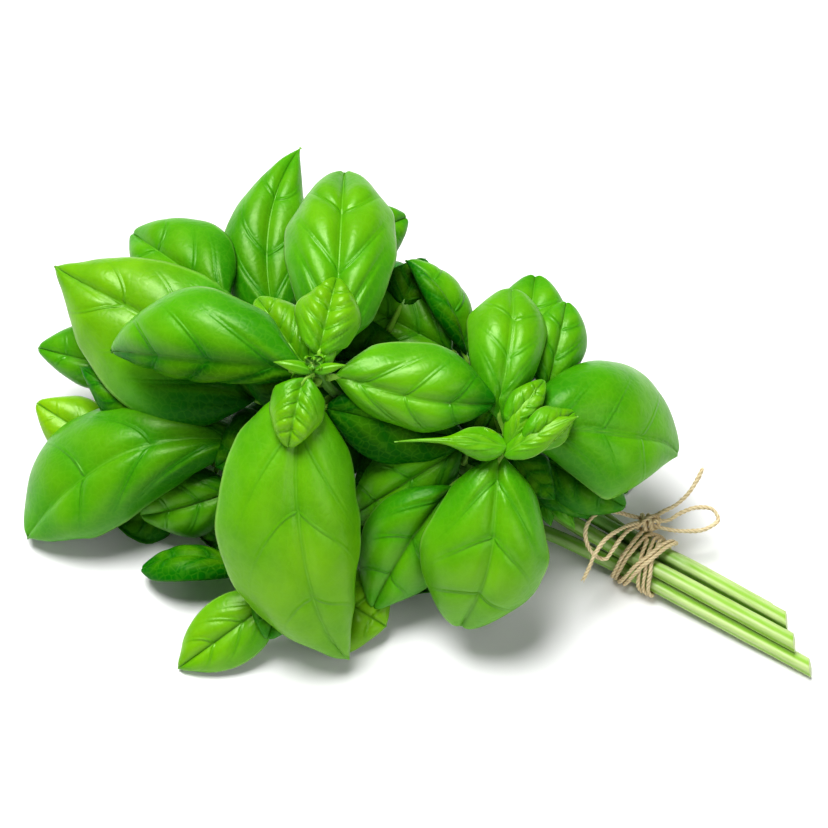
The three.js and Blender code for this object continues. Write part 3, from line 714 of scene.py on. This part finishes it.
def make_inner_leaves(material):
    for i, (base, tip, width, foot, roll, tone) in enumerate(INNER_LEAVES, 1):
        columns = laid_columns(face(*base), face(*tip), width, 0.12, 0.35, roll)
        base, foot = np.array(face(*base)), np.array(face(*foot))
        centres = np.array([foot + (base - foot) * x for x in (0.4, 0.8)])
        petiole = centres, 0.028 * width * MM + 0.3 * MM, foot
        name, seed = f"inside_leaf_{i}", INNER_SEED + i
        build_leaf(name, "leaf", material, columns, Look(tone), seed, INNER_DETAIL, petiole)


SHOOT_SEED = 80
# The young leaves packed round each shoot tip: base, tip, width, roll and how ruffled they are.
SHOOT_LEAVES = (
    ("front", (-31.5, 13.5, 46), (-44.5, 16.5, 46), 4.5, 20, 1),
    ("front", (-32, 13.5, 46.5), (-21.5, 15.5, 47), 4, -20, 1),
    ("front", (-33, 12.5, 44), (-40, 6, 44), 9, 15, 1.6),
    ("front", (-30.5, 15.5, 45), (-27, 27, 43), 9, -15, 1.6),
    ("right", (28.5, -13, 37), (52.5, -0.6, 39), 11, -20, 2.4),
    ("right", (29.5, -11, 36.5), (39, 8.5, 37), 9, 10, 2.2),
    ("right", (27.5, -12, 36.5), (22, -4, 36), 7, 20, 1.6),
)

# One young leaf beside the right shoot ends in a long thin tip.
LONG_SEED = 90
LONG_LEAF = ("right", (29.5, -10.4, 37.5), (-6.5, -8.8, 37.5), 11.5, 20, 3.4)


def make_shoot_leaf(name, place, seed, material, outline=OVATE, nodes=()):
    shoot, base, tip, width, roll, ruffle = place
    look = Look(0.45, 0.5 * ruffle, pairs=4, wave=ruffle, fold=0.8, curl=0.8)
    columns = laid_columns(face(*base), face(*tip), width, 0.1, 0.4, roll, outline)
    foot = middle_of("bud_" + shoot) - FACE_OUT * 2 * MM
    centres = np.array([foot + (Vector(columns[0, 2]) - foot) * x for x in (0.3, 0.7)])
    petiole = centres, 0.55 * MM, np.array(foot)
    build_leaf(name, "young_leaf", material, columns, look, seed, SHOOT_DETAIL, petiole, nodes)


def make_shoot_leaves(material):
    for i, place in enumerate(SHOOT_LEAVES, 1):
        make_shoot_leaf(f"shoot_leaf_{i}", place, SHOOT_SEED + i, material)
    nodes = ["leaf_right_9"]
    make_shoot_leaf("basil_leaf_right_9", LONG_LEAF, LONG_SEED, material, LONG_TIPPED, nodes)


# ---- Stems ----

STEM_SIDES = 32
STEM_STEP = 1.1 * MM
CUT_SLANT = 0.7
STEM_JOINTS = (0.30, 0.58, 0.86)  # how far up a stem its pairs of leaves have grown
# The cut end's rings, from a faintly hollow pith to a rolled edge: the size of each, its depth in
# millimetres and how much of it is pith.
CUT_RINGS = (
    (0.12, 0.35, 1), (0.5, 0.30, 1), (0.8, 0.12, 0.85), (0.92, 0.03, 0.5), (0.985, 0.06, 0.2),
)


def around_ring(ring, sides):
    """A smooth closed curve through a ring's points."""
    count = len(ring)
    knots = np.arange(-2, count + 3)
    at = np.arange(sides) / sides * count
    return spline(knots, ring[knots % count], at)


def lowest_cross(pole, ring):
    """The cut end comes first: it is the end further along the bunch."""
    return -pole[0]


def make_stem(node, seed, material):
    rings, _, tip = read_rings(node, lowest_cross)
    knots = lengths_along(rings.mean(1))
    at = np.linspace(0, knots[-1], int(knots[-1] / STEM_STEP))
    dense = np.stack([around_ring(r, STEM_SIDES) for r in spline(knots, rings, at)])
    middle = dense.mean(1, keepdims=True)
    turn = round_angles(STEM_SIDES)
    share = (at / knots[-1])[:, None]
    # Point 0 of a CAD ring is on one of the four flats, where a basil stem has its grooves.
    groove = np.cos(2 * turn) ** 6 * (1 - 0.4 * share)
    rib = np.cos(4 * turn + math.pi) * 0.012 + np.cos(20 * turn + seed) * 0.006
    node_swell = sum(np.exp(-(((share - j) * knots[-1] / (2.4 * MM)) ** 2)) for j in STEM_JOINTS)
    uneven = slow_noise(dense, 9 * MM, seed) * 0.03
    scale = 1 - 0.10 * groove + rib + 0.10 * node_swell + uneven
    dense = middle + (dense - middle) * scale[..., None]
    groove = groove * (1 - 0.5 * node_swell)
    # The knife went through at a slant: the side towards the foot of the show face is longer.
    away = unit(middle[0] - middle[1])
    slant = -((dense - middle) @ FACE_UP) * CUT_SLANT * (1 - fade(at, 0, 5 * MM))[:, None]
    dense = dense + slant[..., None] * away
    inward = unit(middle[1] - middle[0])
    first, spokes = middle[0], dense[0] - middle[0]
    end = [first + spokes * size + inward * depth * MM for size, depth, _ in CUT_RINGS]
    body = np.concatenate([end, dense[:1] + inward * 0.25 * MM, dense[1:]])
    pith = np.zeros(body.shape[:2])
    pith[: len(end)] = np.array([ring[2] for ring in CUT_RINGS])[:, None]
    grooves = np.concatenate([np.zeros((len(end), STEM_SIDES)), groove])
    along = np.concatenate([np.zeros((len(end), 1)), share])
    start = middle[0, 0] + inward[0] * 0.36 * MM
    shell = Shell()
    shell.add_loft(body, start, tip, groove=grooves, pith=pith, along=along)
    shell.build("basil_" + node, material, "stem", node)


# ---- Shoot tips ----

BUD_LEAVES = 6
# The reach, rise and width of each pair of them, in millimetres.
BUD_LEVELS = ((3.6, 2.2, 3.8), (2.6, 3.6, 3.0), (1.2, 4.4, 2.2))


def make_bud(node, seed, material):
    """The youngest leaves of a shoot, still folded round its tip."""
    axis = FACE_OUT
    across = (FACE_TURNED @ Vector((1, 0, 0))).normalized()
    root = middle_of(node) - axis * 2.4 * MM
    look = Look(0.5, 0.5, 0.3)
    shell = Shell()
    for i in range(BUD_LEAVES):
        level = i // 2
        angle = math.radians(35 + 90 * level + 180 * (i % 2) + 8 * i)
        outward = Matrix.Rotation(angle, 3, axis) @ across
        reach, rise, width = BUD_LEVELS[level]
        base = root + outward * 0.5 * MM + axis * level * 0.8 * MM
        tip = root + outward * reach * MM + axis * rise * MM
        columns = folded_columns(base, tip, outward, axis, width * MM)
        add_blade(shell, columns, look, seed + i, BUD_DETAIL)
    shell.build(node + "_leaves", material, "young_leaf", node)


def folded_columns(base, tip, outward, axis, width):
    """A tiny leaf that wraps round the shoot's axis: its rims turn in towards it."""
    chord = tip - base
    side = outward.cross(axis).normalized()
    columns = []
    for t, share in zip(BLADE_STEPS, OVATE):
        middle = base + chord * t + outward * (1.6 * t * (1 - t) * chord.length)
        half = width / 2 * share
        row = [middle + side * half * x - outward * 0.7 * half * x * x for x in ACROSS]
        columns.append([tuple(p) for p in row])
    return np.array(columns)


# ---- Twine ----

TWINE = 1.45 * MM  # its diameter
STRANDS = 3
STRAND_SIZE, STRAND_OFFSET = 0.54, 0.46  # a strand's radius and middle, as shares of the rope's
TWIST = 5.2 * MM  # the length in which a strand goes once round
TWINE_SIDES = 18
FRAYS = 7  # at each end


def strand_reach(angle):
    """How far a rope of three strands reaches from its middle, as a share of its radius."""
    sector = 2 * math.pi / STRANDS
    off = (angle + sector / 2) % sector - sector / 2
    aside = STRAND_OFFSET * np.sin(off)
    return STRAND_OFFSET * np.cos(off) + np.sqrt(STRAND_SIZE**2 - aside**2)


def add_rope(shell, path, seed, fibres=0.4):
    """A twisted length of twine, frayed at its ends, with that many loose fibres a millimetre."""
    draw = np.random.default_rng(seed)
    heading, side, up = carried_frames(path, (0.3, 0.2, 0.93))
    along = lengths_along(path)
    turn = round_angles(TWINE_SIDES)
    twist = along[:, None] / TWIST * 2 * math.pi + seed
    plain = strand_reach(turn[None] - twist)
    slow, quick = np.sin(along / (3.1 * MM) + seed), np.sin(along / (1.3 * MM) + 2 * seed)
    reach = plain * TWINE / 2 * (1 + 0.07 * slow + 0.05 * quick)[:, None]
    reach[[0, -1]] *= 0.8
    rings = rings_round(path, side, up, reach, turn)
    # How deep each place lies between the strands, for the painted shade there.
    crease = (1 - plain) / (1 - strand_reach(np.array(math.pi / STRANDS)))
    shell.add_loft(rings, path[0], path[-1], crease=crease, fibre=0.0)
    for _ in range(int(along[-1] / MM * fibres)):
        add_fibre(shell, path, heading, side, up, draw)
    for end, way in ((0, -1), (-1, 1)):
        for _ in range(FRAYS):
            add_fray(shell, path[end], heading[end] * way, side[end], up[end], draw)


def add_fibre(shell, path, heading, side, up, draw):
    """A loose fibre, which leaves the twine at a slant and lies back on it."""
    i = draw.integers(1, len(path) - 2)
    angle = draw.uniform(0, 2 * math.pi)
    out = side[i] * math.cos(angle) + up[i] * math.sin(angle)
    round_ = np.cross(heading[i], out)
    length = draw.uniform(0.9, 2.2) * MM
    lift = draw.uniform(0.15, 0.7) * MM
    start = path[i] + out * TWINE * 0.42
    lean = heading[i] * draw.choice([-1, 1]) + round_ * draw.uniform(-0.7, 0.7)
    steps = (0, 0.25, 0.5, 0.75, 1)
    points = [start + lean * length * x + out * lift * math.sin(2.4 * x) for x in steps]
    radii = np.array([1, 1, 0.9, 0.7, 0.3]) * 0.045 * MM
    tube(shell, np.array(points), radii, 4, crease=0.2, fibre=1)


def add_fray(shell, end, heading, side, up, draw):
    """One of the fibres that stand out of a cut end."""
    angle = draw.uniform(0, 2 * math.pi)
    out = side * math.cos(angle) + up * math.sin(angle)
    start = end - heading * 0.5 * MM + out * TWINE * draw.uniform(0.05, 0.35)
    length = draw.uniform(0.9, 1.7) * MM
    spread = draw.uniform(0.1, 0.45)
    steps = (0, 0.35, 0.7, 1)
    points = [start + heading * length * x + out * spread * length * x * x for x in steps]
    radii = np.array([1, 1, 0.8, 0.4]) * 0.08 * MM
    tube(shell, np.array(points), radii, 5, crease=0.3, fibre=1)


# The bow is two lengths of twine. Each is a loop on one side of the knot that runs on through it and
# comes out on the other side as an end.
BOW_RIGHT = (
    (79, -35, -5.4), (81.5, -35.4, -4.4), (84, -35.2, -4), (88, -33, -5), (94, -31, -6),
    (99.5, -32, -7), (101, -35, -7), (97.5, -37.8, -6), (90, -38.8, -5), (84, -38.2, -4.5),
    (80.5, -37.2, -5), (77.5, -36.2, -5), (74.3, -36, -3), (71.5, -36.5, 0), (67.5, -38, 5),
    (62.2, -41.5, 9), (59.2, -45.7, 10), (57.3, -50.3, 8), (55.6, -54.3, 6),
)
BOW_LEFT = (
    (77, -34.6, -6.2), (74, -34.2, -4.6), (71, -33.5, -3), (67.5, -32.5, -1), (62, -32, 2),
    (58, -34.5, 4), (56.3, -38.5, 5), (56.8, -42.5, 6), (59.5, -46.5, 6.5), (62.8, -47.6, 6),
    (65, -45, 5), (67.5, -41.5, 4), (70.6, -38.4, 1), (74.2, -36.8, -3.4), (77.6, -35.2, -6.6),
    (80.6, -33.4, -5.4), (83, -32, -4), (86, -30.5, -4), (90.5, -26.5, -3), (93.7, -21.5, -2),
    (95.3, -18, -1),
)


def make_bow_cord(name, route, seed, material, *nodes):
    path = smooth_path([face(*place) for place in route], 0.45 * MM)
    shell = Shell()
    add_rope(shell, path, seed)
    cord = shell.build(name, material, "twine", *nodes)


# The tied stems in the layout, in millimetres: a row of three with two on top. The twine bends round
# all of them but the middle one.
STEM_RADIUS = 2.8
ROW_PITCH = 5.9
LAYER_RISE = 5.11
TIE_X, TIE_Y = 85, 9.5
TIE_DRIFT = 0.03  # to one side, for each millimetre along the bunch
BUNDLE_LIFT = 2.6  # what is under the row
TURN_SHARPNESS = 0.9
BUNDLE_CORNERS = np.array([(1, 0), (0.5, 1), (-0.5, 1), (-1, 0)]) * (ROW_PITCH, LAYER_RISE)


def beside_bundle(x, angle, distance):
    """A place round the tied stems, by how far it is along the bunch, round it and out of it."""
    radians = math.radians(angle)
    out = np.array([math.cos(radians), math.sin(radians)])
    # Smooth weights let the place slide from one corner stem to the next as the twine bends round.
    near = np.exp((BUNDLE_CORNERS @ out) / TURN_SHARPNESS)
    corner = (BUNDLE_CORNERS * near[:, None]).sum(0) / near.sum()
    y, z = corner + out * distance
    drift = TIE_Y + TIE_DRIFT * (x - TIE_X)
    return LAYOUT + Vector((x, drift + y, STEM_RADIUS + BUNDLE_LIFT + z)) * MM


WINDING_STEP = 6.0  # degrees
WINDING_GAP = 0.3  # mm
# The winding, as places it passes: degrees round the bundle, from the back over the top to the front
# and on, then millimetres along the bunch, and out from the stems.
WINDING = (
    (70, 83, 0), (135, 86, 0), (225, 89.2, 0), (315, 87.6, 0), (420, 85, 0),
    (495, 88, 0), (585, 91, 0), (675, 89.4, 0), (780, 86.8, 0), (855, 89.8, 0),
    (945, 92.7, 0), (1035, 88.6, 0.6), (1140, 82.6, 0.6), (1215, 80.4, 0), (1260, 79.6, 0),
    (1350, 80.8, 0.4), (1430, 88.6, 1), (1480, 91.4, 1.3), (1560, 87.2, 1.5), (1620, 83.4, 0.8),
    (1710, 83.6, 0.4), (1790, 88, 1), (1840, 90, 1.5), (1920, 85.6, 1.6), (1980, 81.6, 0.8),
    (2070, 80.6, 0.4), (2170, 81.4, 0.6), (2230, 80.4, 1.4), (2310, 78.8, 0.6), (2345, 78.2, 0.2),
    (2430, 78.8, 0.2), (2520, 79.4, 0.8), (2570, 79.8, 1.4),
)


def make_winding(material, seed):
    keys = np.array(WINDING, float)
    angles = np.arange(keys[0, 0], keys[-1, 0], WINDING_STEP)
    x = spline(keys[:, 0], keys[:, 1], angles)
    lift = spline(keys[:, 0], keys[:, 2], angles)
    distance = STEM_RADIUS + WINDING_GAP + TWINE / MM / 2 + np.maximum(lift, 0)
    points = [beside_bundle(*place) for place in zip(x, angles, distance)]
    shell = Shell()
    add_rope(shell, smooth_path(points, 0.5 * MM), seed, fibres=0.3)
    shell.build("twine_winding", material, "twine", "twine_wraps")


# The knot's own turns, which bind the bow: millimetres right, up and out of its middle.
KNOT_MIDDLE = (77.2, -35.7, -5.2)
KNOT_BAND = (
    (-2.3, -1.6, -1.4), (-2.1, 0.6, -1.9), (-1.7, 2.2, -0.6), (-1.4, 2, 1.4), (-1.1, 0, 2.3),
    (-0.7, -2.1, 1.4), (-0.4, -2.6, -0.6), (-0.1, -0.8, -2.1), (0.2, 1.6, -1.5), (0.5, 2.3, 0.7),
    (0.8, 0.8, 2.3), (1.1, -1.5, 2), (1.5, -2.5, 0.2), (2, -1.2, -1.8),
)
KNOT_CROSSING = (
    (4.4, 0.6, -1.6), (3.2, 1.6, -0.4), (1.6, 1.8, 1.4), (-0.4, 1, 2.9), (-2.2, -0.4, 2.4),
    (-3.3, -1.6, 0.9), (-3.2, -2.2, -1), (-1.6, -2.4, -2.2), (0.8, -2.6, -2), (2.8, -2.2, -1.2),
    (3.8, -1, 0.2), (3.4, 0.2, 1.2), (1.8, 0.4, 2.4),
)


def make_knot(material, seed):
    shell = Shell()
    for i, turns in enumerate((KNOT_BAND, KNOT_CROSSING)):
        route = [face(*(a + b for a, b in zip(KNOT_MIDDLE, place))) for place in turns]
        add_rope(shell, smooth_path(route, 0.4 * MM), seed + i, fibres=0.3)
    shell.build("bow_knot", material, "twine", "twine_knot")


# ---- Materials ----


def rgba(color):
    """A colour with its alpha. A grey may be one number; a socket stays as it is."""
    if isinstance(color, bpy.types.NodeSocket):
        return color
    return (*((color,) * 3 if isinstance(color, (int, float)) else color), 1)


class Paint:
    """A new material. Each method that adds a node gives its output, to be another's input."""

    def __init__(self, name):
        self.material = bpy.data.materials.new(name)
        self.material.use_nodes = True
        self.tree = self.material.node_tree
        self.shader = self.tree.nodes["Principled BSDF"]

    def put(self, node, inputs):
        """Sets inputs by their identifiers, each to a constant or to another node's output."""
        for name, value in inputs.items():
            socket = next(s for s in node.inputs if s.identifier == name)
            if isinstance(value, bpy.types.NodeSocket):
                self.tree.links.new(value, socket)
            else:
                socket.default_value = value

    def shade(self, inputs):
        self.put(self.shader, inputs)

    def new(self, kind, output, inputs, **settings):
        node = self.tree.nodes.new("ShaderNode" + kind)
        for name, value in settings.items():
            setattr(node, name, value)
        self.put(node, inputs)
        return next(s for s in node.outputs if s.identifier == output)

    def place(self):
        return self.new("TexCoord", "Object", {})

    def value(self, name):
        return self.new("Attribute", "Fac", {}, attribute_name=name)

    def noise(self, size, detail=3.0, rough=0.5, distortion=0.0, place=None):
        inputs = {"Vector": place or self.place(), "Scale": 1 / size, "Detail": detail}
        return self.new("TexNoise", "Fac", {**inputs, "Roughness": rough, "Distortion": distortion})

    def streaks(self, across, along):
        """Noise in streaks that run along the bunch."""
        scale = (1 / along, 1 / across, 1 / across)
        place = self.new("Mapping", "Vector", {"Vector": self.place(), "Scale": scale})
        return self.noise(1, place=place)

    def cells(self, size):
        """How far each place is from the nearest border between cells of about that size."""
        inputs = {"Vector": self.place(), "Scale": 1 / size}
        return self.new("TexVoronoi", "Distance", inputs, feature="DISTANCE_TO_EDGE")

    def ramp(self, source, *stops):
        """Maps a value to a colour. Each stop is a place and a colour, or a grey as one number."""
        node = self.tree.nodes.new("ShaderNodeValToRGB")
        elements = node.color_ramp.elements
        while len(elements) < len(stops):
            elements.new(0.5)
        for element, (place, color) in zip(elements, stops):
            element.position = place
            element.color = rgba(color)
        self.put(node, {"Fac": source})
        return node.outputs["Color"]

    def mix(self, share, a, b):
        inputs = {"Factor_Float": share, "A_Color": rgba(a), "B_Color": rgba(b)}
        return self.new("Mix", "Result_Color", inputs, data_type="RGBA")

    def math(self, operation, a, b=0.0):
        return self.new("Math", "Value", {"Value": a, "Value_001": b}, operation=operation)

    def add(self, a, b):
        return self.math("ADD", a, b)

    def times(self, a, b):
        return self.math("MULTIPLY", a, b)

    def nearness(self, distance, near, far):
        """1 within the near distance, falling smoothly to 0 at the far one."""
        limits = {"From Min": near, "From Max": far, "To Min": 1.0, "To Max": 0.0}
        inputs = {"Value": distance, **limits}
        return self.new("MapRange", "Result", inputs, interpolation_type="SMOOTHSTEP")

    def bump(self, height, distance):
        inputs = {"Height": height, "Distance": distance}
        self.shade({"Normal": self.new("Bump", "Normal", inputs)})


INNER_SHADE_GREEN = (0.003, 0.085, 0.001)
DEEP_GREEN = (0.007, 0.165, 0.001)
BASIL_GREEN = (0.082, 0.352, 0.001)
YELLOW_GREEN = (0.24, 0.49, 0.002)
VEIN_GREEN = (0.19, 0.48, 0.03)
CREASE_SHADE_GREEN = (0.02, 0.21, 0.001)
RIM_GREEN = (0.26, 0.52, 0.09)
UNDER_GREEN = (0.13, 0.34, 0.03)
STALK_GREEN = (0.23, 0.48, 0.05)
VEIN_LINE = (0.06 * MM, 0.34 * MM)  # how far from a vein's middle its pale line fades out
CREASE = (0.0, 0.85 * MM)  # and the valley that it lies in, painted darker as shade
BLISTER = 2.6 * MM  # the size of the cells between a leaf's finest veins


def vein_lines(paint, core, edge, side_share):
    """How strongly a place is on a vein, which fades out from core to edge, away from its middle."""
    part = paint.math("FRACT", paint.add(paint.value("rank"), 0.5))
    apart = paint.math("ABSOLUTE", paint.add(part, -0.5))
    distance = paint.times(apart, paint.value("reach"))
    side = paint.times(paint.nearness(distance, core, edge), paint.value("strength"))
    midrib = paint.nearness(paint.value("across"), 1.3 * core, 1.3 * edge)
    return paint.math("MAXIMUM", paint.times(side, side_share), midrib)


def leaf_material():
    paint = Paint("basil_leaf")
    tone = paint.add(paint.times(paint.value("tone"), 0.5), 0.5)
    # Painted shade: below deep green the tones run down to a near-black green, for the leaves deep
    # inside the bunch.
    greens = (0.0, INNER_SHADE_GREEN), (0.22, DEEP_GREEN), (0.5, BASIL_GREEN), (1.0, YELLOW_GREEN)
    upper = paint.ramp(tone, *greens)
    patches = paint.ramp(paint.noise(16 * MM, 4, 0.6), (0.38, 0.0), (0.72, 0.4))
    upper = paint.mix(patches, upper, DEEP_GREEN)
    # Painted highlight: the blade is yellower where it rises between its veins.
    upper = paint.mix(paint.times(paint.value("pucker"), 0.25), upper, YELLOW_GREEN)
    lines = vein_lines(paint, *VEIN_LINE, 0.25)
    creases = vein_lines(paint, *CREASE, 0.9)
    net = paint.nearness(paint.cells(BLISTER), 0.02, 0.12)
    upper = paint.mix(paint.times(net, 0.10), upper, VEIN_GREEN)
    # Painted shade: the valleys the veins lie in are darker green.
    upper = paint.mix(paint.times(creases, 0.30), upper, CREASE_SHADE_GREEN)
    upper = paint.mix(paint.times(lines, paint.times(tone, 0.8)), upper, VEIN_GREEN)
    # Painted highlight: a thin pale line along the rim, fainter on the darker-toned leaves.
    rim = paint.times(paint.ramp(paint.value("rim"), (0.935, 0.0), (0.985, 1.0)), tone)
    upper = paint.mix(rim, upper, RIM_GREEN)
    lower = paint.mix(lines, paint.mix(tone, DEEP_GREEN, UNDER_GREEN), RIM_GREEN)
    color = paint.mix(paint.value("under"), upper, lower)
    color = paint.mix(paint.value("stalk"), color, STALK_GREEN)
    # An export that drops the link to this input has this constant instead.
    paint.shade({"Specular IOR Level": 0.35})
    paint.shade({
        "Base Color": color,
        "Roughness": paint.ramp(paint.noise(5 * MM, 3), (0.3, 0.30), (0.7, 0.42)),
        # Specular falls with the tone, so the leaves painted in shade are also duller.
        "Specular IOR Level": paint.ramp(tone, (0.08, 0.04), (0.55, 0.42)),
        "Specular Tint": (0.85, 1.00, 0.65, 1),
        "Subsurface Weight": 0.1,
        "Subsurface Radius": (0.4, 1.0, 0.1),
        "Subsurface Scale": 1.0 * MM,
    })
    blisters = paint.times(paint.math("MINIMUM", paint.cells(BLISTER), 0.3), 0.55)
    grain = paint.times(paint.noise(0.9 * MM, 3, 0.6), 0.10)
    height = paint.add(paint.add(blisters, grain), paint.times(creases, -1.6))
    paint.bump(height, 0.22 * MM)
    return paint.material


PALE_STEM = (0.48, 0.62, 0.25)
GROOVE_GREEN = (0.23, 0.48, 0.01)
SHOOT_GREEN = (0.06, 0.22, 0.008)
PITH = (0.62, 0.74, 0.38)
STEM_STAIN = (0.42, 0.36, 0.16)


def stem_material():
    paint = Paint("basil_stem")
    groove = paint.ramp(paint.value("groove"), (0.1, 0.0), (0.75, 0.9))
    color = paint.mix(groove, PALE_STEM, GROOVE_GREEN)
    streaks = paint.ramp(paint.streaks(1.2 * MM, 14 * MM), (0.42, 0.0), (0.75, 0.55))
    color = paint.mix(streaks, color, GROOVE_GREEN)
    shoot = paint.ramp(paint.value("along"), (0.22, 0.0), (0.50, 0.9))
    color = paint.mix(shoot, color, SHOOT_GREEN)
    stains = paint.ramp(paint.noise(7 * MM, 4, 0.6), (0.66, 0.0), (0.76, 0.35))
    color = paint.mix(stains, color, STEM_STAIN)
    color = paint.mix(paint.value("pith"), color, PITH)
    paint.shade({
        "Base Color": color,
        "Roughness": 0.42,
        "Specular IOR Level": 0.45,
        "Subsurface Weight": 0.15,
        "Subsurface Radius": (0.8, 1.0, 0.3),
        "Subsurface Scale": 1.5 * MM,
    })
    height = paint.add(paint.streaks(0.5 * MM, 8 * MM), paint.times(paint.noise(0.4 * MM), 0.3))
    paint.bump(height, 0.12 * MM)
    return paint.material


JUTE_PALE = (0.86, 0.76, 0.5)
JUTE = (0.7, 0.56, 0.32)
JUTE_DARK = (0.28, 0.18, 0.08)


def twine_material():
    paint = Paint("jute_twine")
    color = paint.ramp(paint.noise(1.4 * MM, 4, 0.65), (0.3, JUTE), (0.7, JUTE_PALE))
    fibres = paint.ramp(paint.noise(0.25 * MM, 2, 0.6, 1.5), (0.5, 0.0), (0.8, 0.4))
    color = paint.mix(fibres, color, JUTE_DARK)
    # Painted shade: the valleys between the strands are darker.
    crease = paint.ramp(paint.value("crease"), (0.35, 0.0), (1.0, 0.75))
    color = paint.mix(crease, color, JUTE_DARK)
    color = paint.mix(paint.times(paint.value("fibre"), 0.7), color, JUTE_PALE)
    paint.shade({"Base Color": color, "Roughness": 0.85, "Specular IOR Level": 0.2})
    paint.bump(paint.noise(0.22 * MM, 3, 0.7, 1.0), 0.12 * MM)
    return paint.material


# ---- Assembly ----


def main():
    make_camera()
    make_floor()
    make_light()
    leaf, stem, twine = leaf_material(), stem_material(), twine_material()
    make_bow_cord("bow_right", BOW_RIGHT, 3, twine, "twine_loop_right", "twine_end_left")
    make_bow_cord("bow_left", BOW_LEFT, 5, twine, "twine_loop_left", "twine_end_right")
    make_winding(twine, seed=7)
    make_knot(twine, seed=11)
    for seed, node in enumerate(sorted(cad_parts)):
        if node.startswith("leaf_") and node != "leaf_right_9":
            make_leaf(node, seed, leaf)
        elif node.startswith("stem_"):
            make_stem(node, seed, stem)
        elif node.startswith("bud_"):
            make_bud(node, seed, leaf)
    make_inner_leaves(leaf)
    make_shoot_leaves(leaf)


bpy.context.scene.view_settings.view_transform = "Standard"
bpy.context.scene.view_settings.look = "Medium High Contrast"
main()
